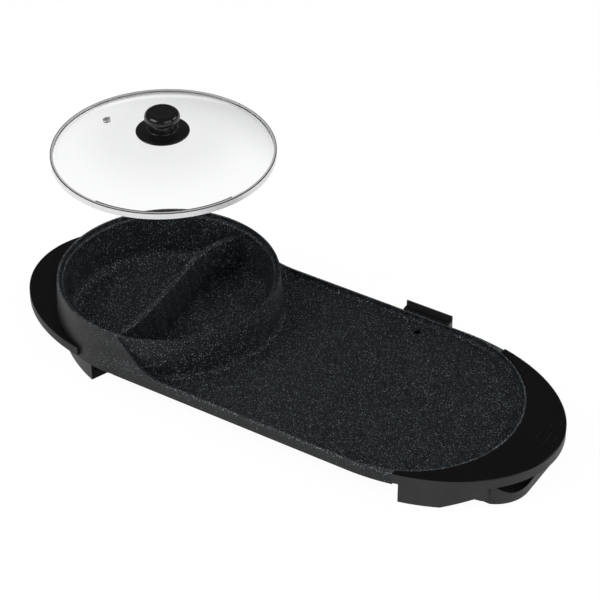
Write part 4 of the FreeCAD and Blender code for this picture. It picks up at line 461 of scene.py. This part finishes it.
def moulded_plastic(name, tone, painted_shade_tone, roughness, specular, painted_shade_faces=UP_FACES, painted_shade_roughness=None):
    """Moulded plastic with a fine spark texture, and painted shade: a darker tone on the faces that look one
    way.
    """
    material, tree, shader = new_material(name)
    grain = place_group(tree, GRAIN, Grain_Size=MOULD_GRAIN)
    geometry = tree.nodes.new("ShaderNodeNewGeometry")
    axis, low, high = painted_shade_faces
    turned = ramp(tree, parts_of(tree, geometry.outputs["True Normal"])[axis], low, high)
    drift = spread(tree, grain.outputs["Cloud"], *MOULD_TONES)
    colour = vector_node(tree, "MULTIPLY", mix_colour(tree, turned, tone, painted_shade_tone), drift)
    tree.links.new(colour["Vector"], shader.inputs["Base Color"])
    rough = spread(tree, grain.outputs["Height"], roughness - MOULD_DRIFT, roughness + MOULD_DRIFT)
    if painted_shade_roughness is not None:
        rough = blend_values(tree, turned, rough, painted_shade_roughness)
    tree.links.new(rough, shader.inputs["Roughness"])
    shader.inputs["Specular IOR Level"].default_value = specular
    add_bump(tree, shader, grain.outputs["Height"], MOULD_RELIEF)
    return material


def grey_with_painted_shade(name, deep_faces):
    """The grey plastic, with a near black, dull painted shade on the faces that lie deep in a recess."""
    return moulded_plastic(name, GREY, PAINTED_DEEP_SHADE, GREY_ROUGHNESS, GREY_SPECULAR, deep_faces, DEEP_ROUGHNESS)


# ---------------------------------------------------------------- glass
CROWN_SHADE_FADE = (0.35 * LID_R, 0.9 * LID_R)       # radii between which the painted shade of the crown fades
CROWN_CLEAR = 0.55
REAR_SHADE_FADE = (0.15 * LID_R, 0.9 * LID_R)        # distances behind the axis, where the rear's painted shade comes in
REAR_CLEAR = 0.15
# painted shade: the glass greys towards the crown and the rear
GLASS_PAINTED_SHADE = (0.73, 0.735, 0.735)
CLEAR = (0.975, 0.98, 0.98)
GLASS_GRAIN = 4.0 * MM
GLASS_CLOUD = 80 * MM
GLASS_ROUGHNESS = (0.015, 0.03)
GLASS_IOR = 1.25                # below real glass, so that the sheet bends and mirrors little


def lid_glass():
    """Toughened glass with painted shade: grey at the crown and to the rear, clear towards its edge."""
    material, tree, shader = new_material("lid_glass")
    grain = place_group(tree, GRAIN, Grain_Size=GLASS_GRAIN, Cloud_Size=GLASS_CLOUD)
    turned = place_group(tree, TURNED, Centre=tuple(LID_CENTRE))
    coordinates = tree.nodes.new("ShaderNodeTexCoord")
    place = parts_of(tree, coordinates.outputs["Object"])
    behind = math_node(tree, "SUBTRACT", place["Y"], LID_CENTRE.y)
    edge = ramp(tree, turned.outputs["Radius"], *CROWN_SHADE_FADE, CROWN_CLEAR, 1.0)
    front = ramp(tree, behind, *REAR_SHADE_FADE, 1.0, REAR_CLEAR)
    clear = math_node(tree, "MULTIPLY", edge, front)
    tree.links.new(mix_colour(tree, clear, GLASS_PAINTED_SHADE, CLEAR), shader.inputs["Base Color"])
    tree.links.new(spread(tree, grain.outputs["Cloud"], *GLASS_ROUGHNESS), shader.inputs["Roughness"])
    shader.inputs["Transmission Weight"].default_value = 1.0
    shader.inputs["IOR"].default_value = GLASS_IOR
    return material


# ---------------------------------------------------------------- steel
METAL_RELIEF = 0.01 * MM
EDGE_LINE_WIDTH = 1.0 * MM      # painted shade: a dark line along the outer top edge of the lid's band
EDGE_LINE_DEPTH = 0.7 * MM      # how far it reaches down the band
EDGE_LINE_FADE = 0.2 * MM


def turned_steel(name, dark, light, rough, metallic, painted_shade_line=None):
    """Spun sheet steel; the last argument is the tone of a line of painted shade along the rolled top edge of
    the lid's band.
    """
    material, tree, shader = new_material(name)
    marks = place_group(tree, TURNED, Centre=tuple(LID_CENTRE))
    tone = mix_colour(tree, marks.outputs["Streak"], dark, light)
    # painted shade: a dark line along the band's rolled top edge
    if painted_shade_line is not None:
        inside = LID_R - EDGE_LINE_WIDTH
        outer = ramp(tree, marks.outputs["Radius"], inside - EDGE_LINE_FADE, inside)
        low = LID_HIGH.z - LID_CENTRE.z - EDGE_LINE_DEPTH
        top = math_node(tree, "GREATER_THAN", marks.outputs["Level"], low)
        tone = mix_colour(tree, math_node(tree, "MULTIPLY", outer, top), tone, painted_shade_line)
    tree.links.new(tone, shader.inputs["Base Color"])
    tree.links.new(spread(tree, marks.outputs["Streak"], *rough), shader.inputs["Roughness"])
    shader.inputs["Metallic"].default_value = metallic
    add_bump(tree, shader, marks.outputs["Streak"], METAL_RELIEF)
    return material


# ---------------------------------------------------------------- finishes with a plain grain
PLAIN_CLOUD = 12                # in mm
PLAIN_DRIFT = 0.06
PLAIN_RELIEF = 0.03 * MM


def grained(name, dark, light, rough, grain, cloud, metallic=0.0, relief=None, rough_by="Height"):
    """A finish whose tone drifts in clouds and its roughness in the grain; grain and cloud are in mm."""
    material, tree, shader = new_material(name)
    marks = place_group(tree, GRAIN, Grain_Size=grain * MM, Cloud_Size=cloud * MM)
    tree.links.new(mix_colour(tree, marks.outputs["Cloud"], dark, light), shader.inputs["Base Color"])
    tree.links.new(spread(tree, marks.outputs[rough_by], *rough), shader.inputs["Roughness"])
    shader.inputs["Metallic"].default_value = metallic
    if relief is not None:
        add_bump(tree, shader, marks.outputs["Height"], relief)
    return material


def panel_gloss():
    """Glossy black sheet of the touch panel."""
    return grained("panel_gloss", (0.0012, 0.0010, 0.0011), (0.0028, 0.0014, 0.0016), (0.08, 0.12), 1.2, 60,
                   rough_by="Cloud")


def knob_gloss():
    """Polished black plastic of the lid's knob."""
    return grained("knob_gloss", (0.006, 0.006, 0.0065), (0.010, 0.010, 0.011), (0.13, 0.19), 1.0, 15)


def eyelet_steel():
    """Pale satin steel of the rolled steam vent."""
    return grained("vent_eyelet", (0.34, 0.34, 0.35), (0.52, 0.52, 0.53), (0.24, 0.36), 0.4, 3, metallic=0.3)


def baked_sheet():
    """Black baked finish on pressed steel sheet, with a slight orange peel."""
    return grained("sheet_steel", (0.016, 0.016, 0.017), (0.028, 0.028, 0.029), (0.38, 0.48), 1.6, 40,
                   relief=PLAIN_RELIEF)


def mark_print():
    """Grey ink, barely lighter than the gloss round it."""
    return grained("mark_print", (0.007, 0.0065, 0.0065), (0.014, 0.013, 0.013), (0.25, 0.35), 0.4, 2)


def plain(name, dark, light, roughness, grain, metallic=0.0, relief=PLAIN_RELIEF):
    """A finish of the pieces inside."""
    rough = (roughness - PLAIN_DRIFT, roughness + PLAIN_DRIFT)
    return grained(name, dark, light, rough, grain, PLAIN_CLOUD, metallic, relief)


# ---------------------------------------------------------------- every node gets its finish
def make_finishes():
    return {
        "granite_coat": granite_coat(),
        # black, grey and tray plastics: their second tone is painted shade on the faces that look up
        "black_plastic": moulded_plastic("black_plastic", (0.020, 0.020, 0.021), (0.0055, 0.0055, 0.0058),
                                         0.5, 0.2),
        "grey_plastic": moulded_plastic("grey_plastic", GREY, (0.014, 0.014, 0.015),
                                        GREY_ROUGHNESS, GREY_SPECULAR),
        "panel_gloss": panel_gloss(),
        "knob_gloss": knob_gloss(),
        "lid_glass": lid_glass(),
        "steel": turned_steel("steel", (0.62, 0.62, 0.63), (0.74, 0.74, 0.75), (0.20, 0.33), 1.0),
        # lid_band: with a line of painted shade along its top edge
        "lid_band": turned_steel("lid_band", (0.80, 0.80, 0.81), (0.90, 0.90, 0.91), (0.26, 0.38), 0.35,
                                 painted_shade_line=(0.05, 0.05, 0.05)),
        "vent_eyelet": eyelet_steel(),
        # base_plastic and leg_plastic: near black painted shade on the recess faces and on the legs' inner
        # faces
        "base_plastic": grey_with_painted_shade("base_plastic", RECESS_FACES),
        "leg_plastic": grey_with_painted_shade("leg_plastic", LEG_INNER_FACES),
        "sheet_steel": baked_sheet(),
        "heater_sheath": plain("heater_sheath", (0.16, 0.15, 0.14), (0.3, 0.28, 0.26), 0.42, 0.8, 1.0),
        "ceramic": plain("ceramic", (0.72, 0.70, 0.64), (0.82, 0.80, 0.74), 0.7, 0.4),
        "board_green": plain("board_green", (0.014, 0.10, 0.045), (0.02, 0.15, 0.07), 0.35, 0.5),
        "brass": plain("brass", (0.66, 0.49, 0.22), (0.76, 0.60, 0.30), 0.3, 0.6, 1.0, METAL_RELIEF),
        "lead_sleeve": plain("lead_sleeve", (0.52, 0.50, 0.47), (0.62, 0.60, 0.56), 0.6, 0.3),
        "rubber": plain("rubber", (0.016, 0.016, 0.016), (0.026, 0.026, 0.026), 0.75, 0.5),
        "tray_plastic": moulded_plastic("tray_plastic", (0.020, 0.020, 0.021), (0.015, 0.015, 0.0155),
                                        0.42, 0.3),
    }


# control_base and the left legs take the grey plastic with painted shade
OWN_FINISH = {          # nodes whose finish differs from others in their slot
    "lid_rim": "lid_band", "vent_grommet": "vent_eyelet", "control_base": "base_plastic",
    "front_left_leg": "leg_plastic", "rear_left_leg": "leg_plastic",
}


def dress_nodes(finishes):
    for name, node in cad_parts.items():
        for i, slot in enumerate(node.data.materials):
            node.data.materials[i] = finishes[OWN_FINISH.get(name, slot.name.split(".")[0])]


# ---------------------------------------------------------------- faint printed marks on the touch panel
MARK_WIDTH = 0.7 * MM
MARK_HEIGHT = 0.06 * MM
MARK_STEPS = 6
PANEL_MARKS = (         # radius in mm, first and last angle in degrees of each mark, round the griddle's end
    (161.0, 8.8, 1.4), (169.0, 12.8, 10.4), (172.5, 7.7, -1.4), (181.5, 7.0, 4.1), (183.0, 2.1, 0.7),
    (178.3, 15.8, 12.2),
)


def add_panel_marks():
    """Thin raised strips of ink on top of the panel, each a short arc round the griddle's end."""
    centre = Vector((ROUND_END_X, POT_Y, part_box("control_panel")[1].z))
    up = Vector((0, 0, MARK_HEIGHT))
    made = bmesh.new()
    for radius, first, last in PANEL_MARKS:
        rings = []
        for step in range(MARK_STEPS + 1):
            turn = math.radians(first + (last - first) * step / MARK_STEPS)
            out = Vector((math.cos(turn), math.sin(turn), 0))
            inner = centre + out * (radius * MM - MARK_WIDTH / 2)
            outer = centre + out * (radius * MM + MARK_WIDTH / 2)
            rings.append([made.verts.new(corner) for corner in (inner, outer, outer + up, inner + up)])
        for a, b in zip(rings, rings[1:]):
            for i in range(4):
                made.faces.new((a[i], a[(i + 1) % 4], b[(i + 1) % 4], b[i]))
        made.faces.new(rings[0][::-1])
        made.faces.new(rings[-1])
    bmesh.ops.recalc_face_normals(made, faces=made.faces)
    mesh = bpy.data.meshes.new("touch_marks")
    made.to_mesh(mesh)
    made.free()
    mesh.materials.append(mark_print())
    marks = add_object("touch_marks", mesh)
    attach(marks, "root")


# ---------------------------------------------------------------- world and floor
WORLD_LIGHT = 0.35
SKY_IN_MIRRORS = 0.10           # strength overhead that glossy surfaces see
SKY_FADE = (-0.15, 0.05)        # heights of a ray's direction between which mirrors see the studio darken


def rays(tree, *kinds):
    """1 for light rays of any of these kinds."""
    path = tree.nodes.new("ShaderNodeLightPath")
    found = path.outputs[kinds[0]]
    for kind in kinds[1:]:
        found = math_node(tree, "MAXIMUM", found, path.outputs[kind])
    return found


def set_world():
    """White behind the object, plain light on it, and a studio that darkens overhead in glossy surfaces."""
    world = bpy.data.worlds.new("studio")
    bpy.context.scene.world = world
    world.use_nodes = True
    tree = world.node_tree
    background = tree.nodes["Background"]
    background.inputs["Color"].default_value = (1, 1, 1, 1)
    direction = tree.nodes.new("ShaderNodeTexCoord")
    height = parts_of(tree, direction.outputs["Generated"])["Z"]
    mirrored = ramp(tree, height, *SKY_FADE, 1.0, SKY_IN_MIRRORS)
    strength = blend_values(tree, rays(tree, "Is Glossy Ray"), WORLD_LIGHT, mirrored)
    seen = rays(tree, "Is Camera Ray", "Is Transmission Ray")
    tree.links.new(blend_values(tree, seen, strength, 1.0), background.inputs["Strength"])


FLOOR_SIZE = 8.0
FLOOR_Z = -0.5 * MM             # just under the feet
FLOOR_PAINT = (0.9, 0.9, 0.9, 1)
FLOOR_SHADOW = 0.07             # how strongly the floor shows the object's shadow
FLOOR_GLOW = 1.03               # so that the rest of it is as white as the studio behind


def floor_white():
    """White floor with a faint shadow, see-through from underneath."""
    material = bpy.data.materials.new("white_floor")
    material.use_nodes = True
    tree = material.node_tree
    tree.nodes.clear()
    paint = tree.nodes.new("ShaderNodeBsdfDiffuse")
    paint.inputs["Color"].default_value = FLOOR_PAINT
    glow = tree.nodes.new("ShaderNodeEmission")
    glow.inputs["Strength"].default_value = FLOOR_GLOW
    above = tree.nodes.new("ShaderNodeMixShader")
    seen = rays(tree, "Is Camera Ray", "Is Glossy Ray", "Is Transmission Ray")
    tree.links.new(math_node(tree, "MULTIPLY", seen, 1.0 - FLOOR_SHADOW), above.inputs["Fac"])
    tree.links.new(paint.outputs[0], above.inputs[1])
    tree.links.new(glow.outputs[0], above.inputs[2])
    geometry = tree.nodes.new("ShaderNodeNewGeometry")
    clear = tree.nodes.new("ShaderNodeBsdfTransparent")
    one_sided = tree.nodes.new("ShaderNodeMixShader")
    tree.links.new(geometry.outputs["Backfacing"], one_sided.inputs["Fac"])
    tree.links.new(above.outputs[0], one_sided.inputs[1])
    tree.links.new(clear.outputs[0], one_sided.inputs[2])
    out = tree.nodes.new("ShaderNodeOutputMaterial")
    tree.links.new(one_sided.outputs[0], out.inputs["Surface"])
    return material


def add_floor():
    half = FLOOR_SIZE / 2
    mesh = bpy.data.meshes.new("floor")
    corners = [(-half, -half, 0), (half, -half, 0), (half, half, 0), (-half, half, 0)]
    mesh.from_pydata(corners, [], [(0, 1, 2, 3)])
    mesh.materials.append(floor_white())
    floor = add_object("floor", mesh)
    floor.location.z = FLOOR_Z


set_world()
add_lights()
add_camera()
add_floor()
dress_nodes(make_finishes())
add_panel_marks()

bpy.context.scene.view_settings.view_transform = "Standard"
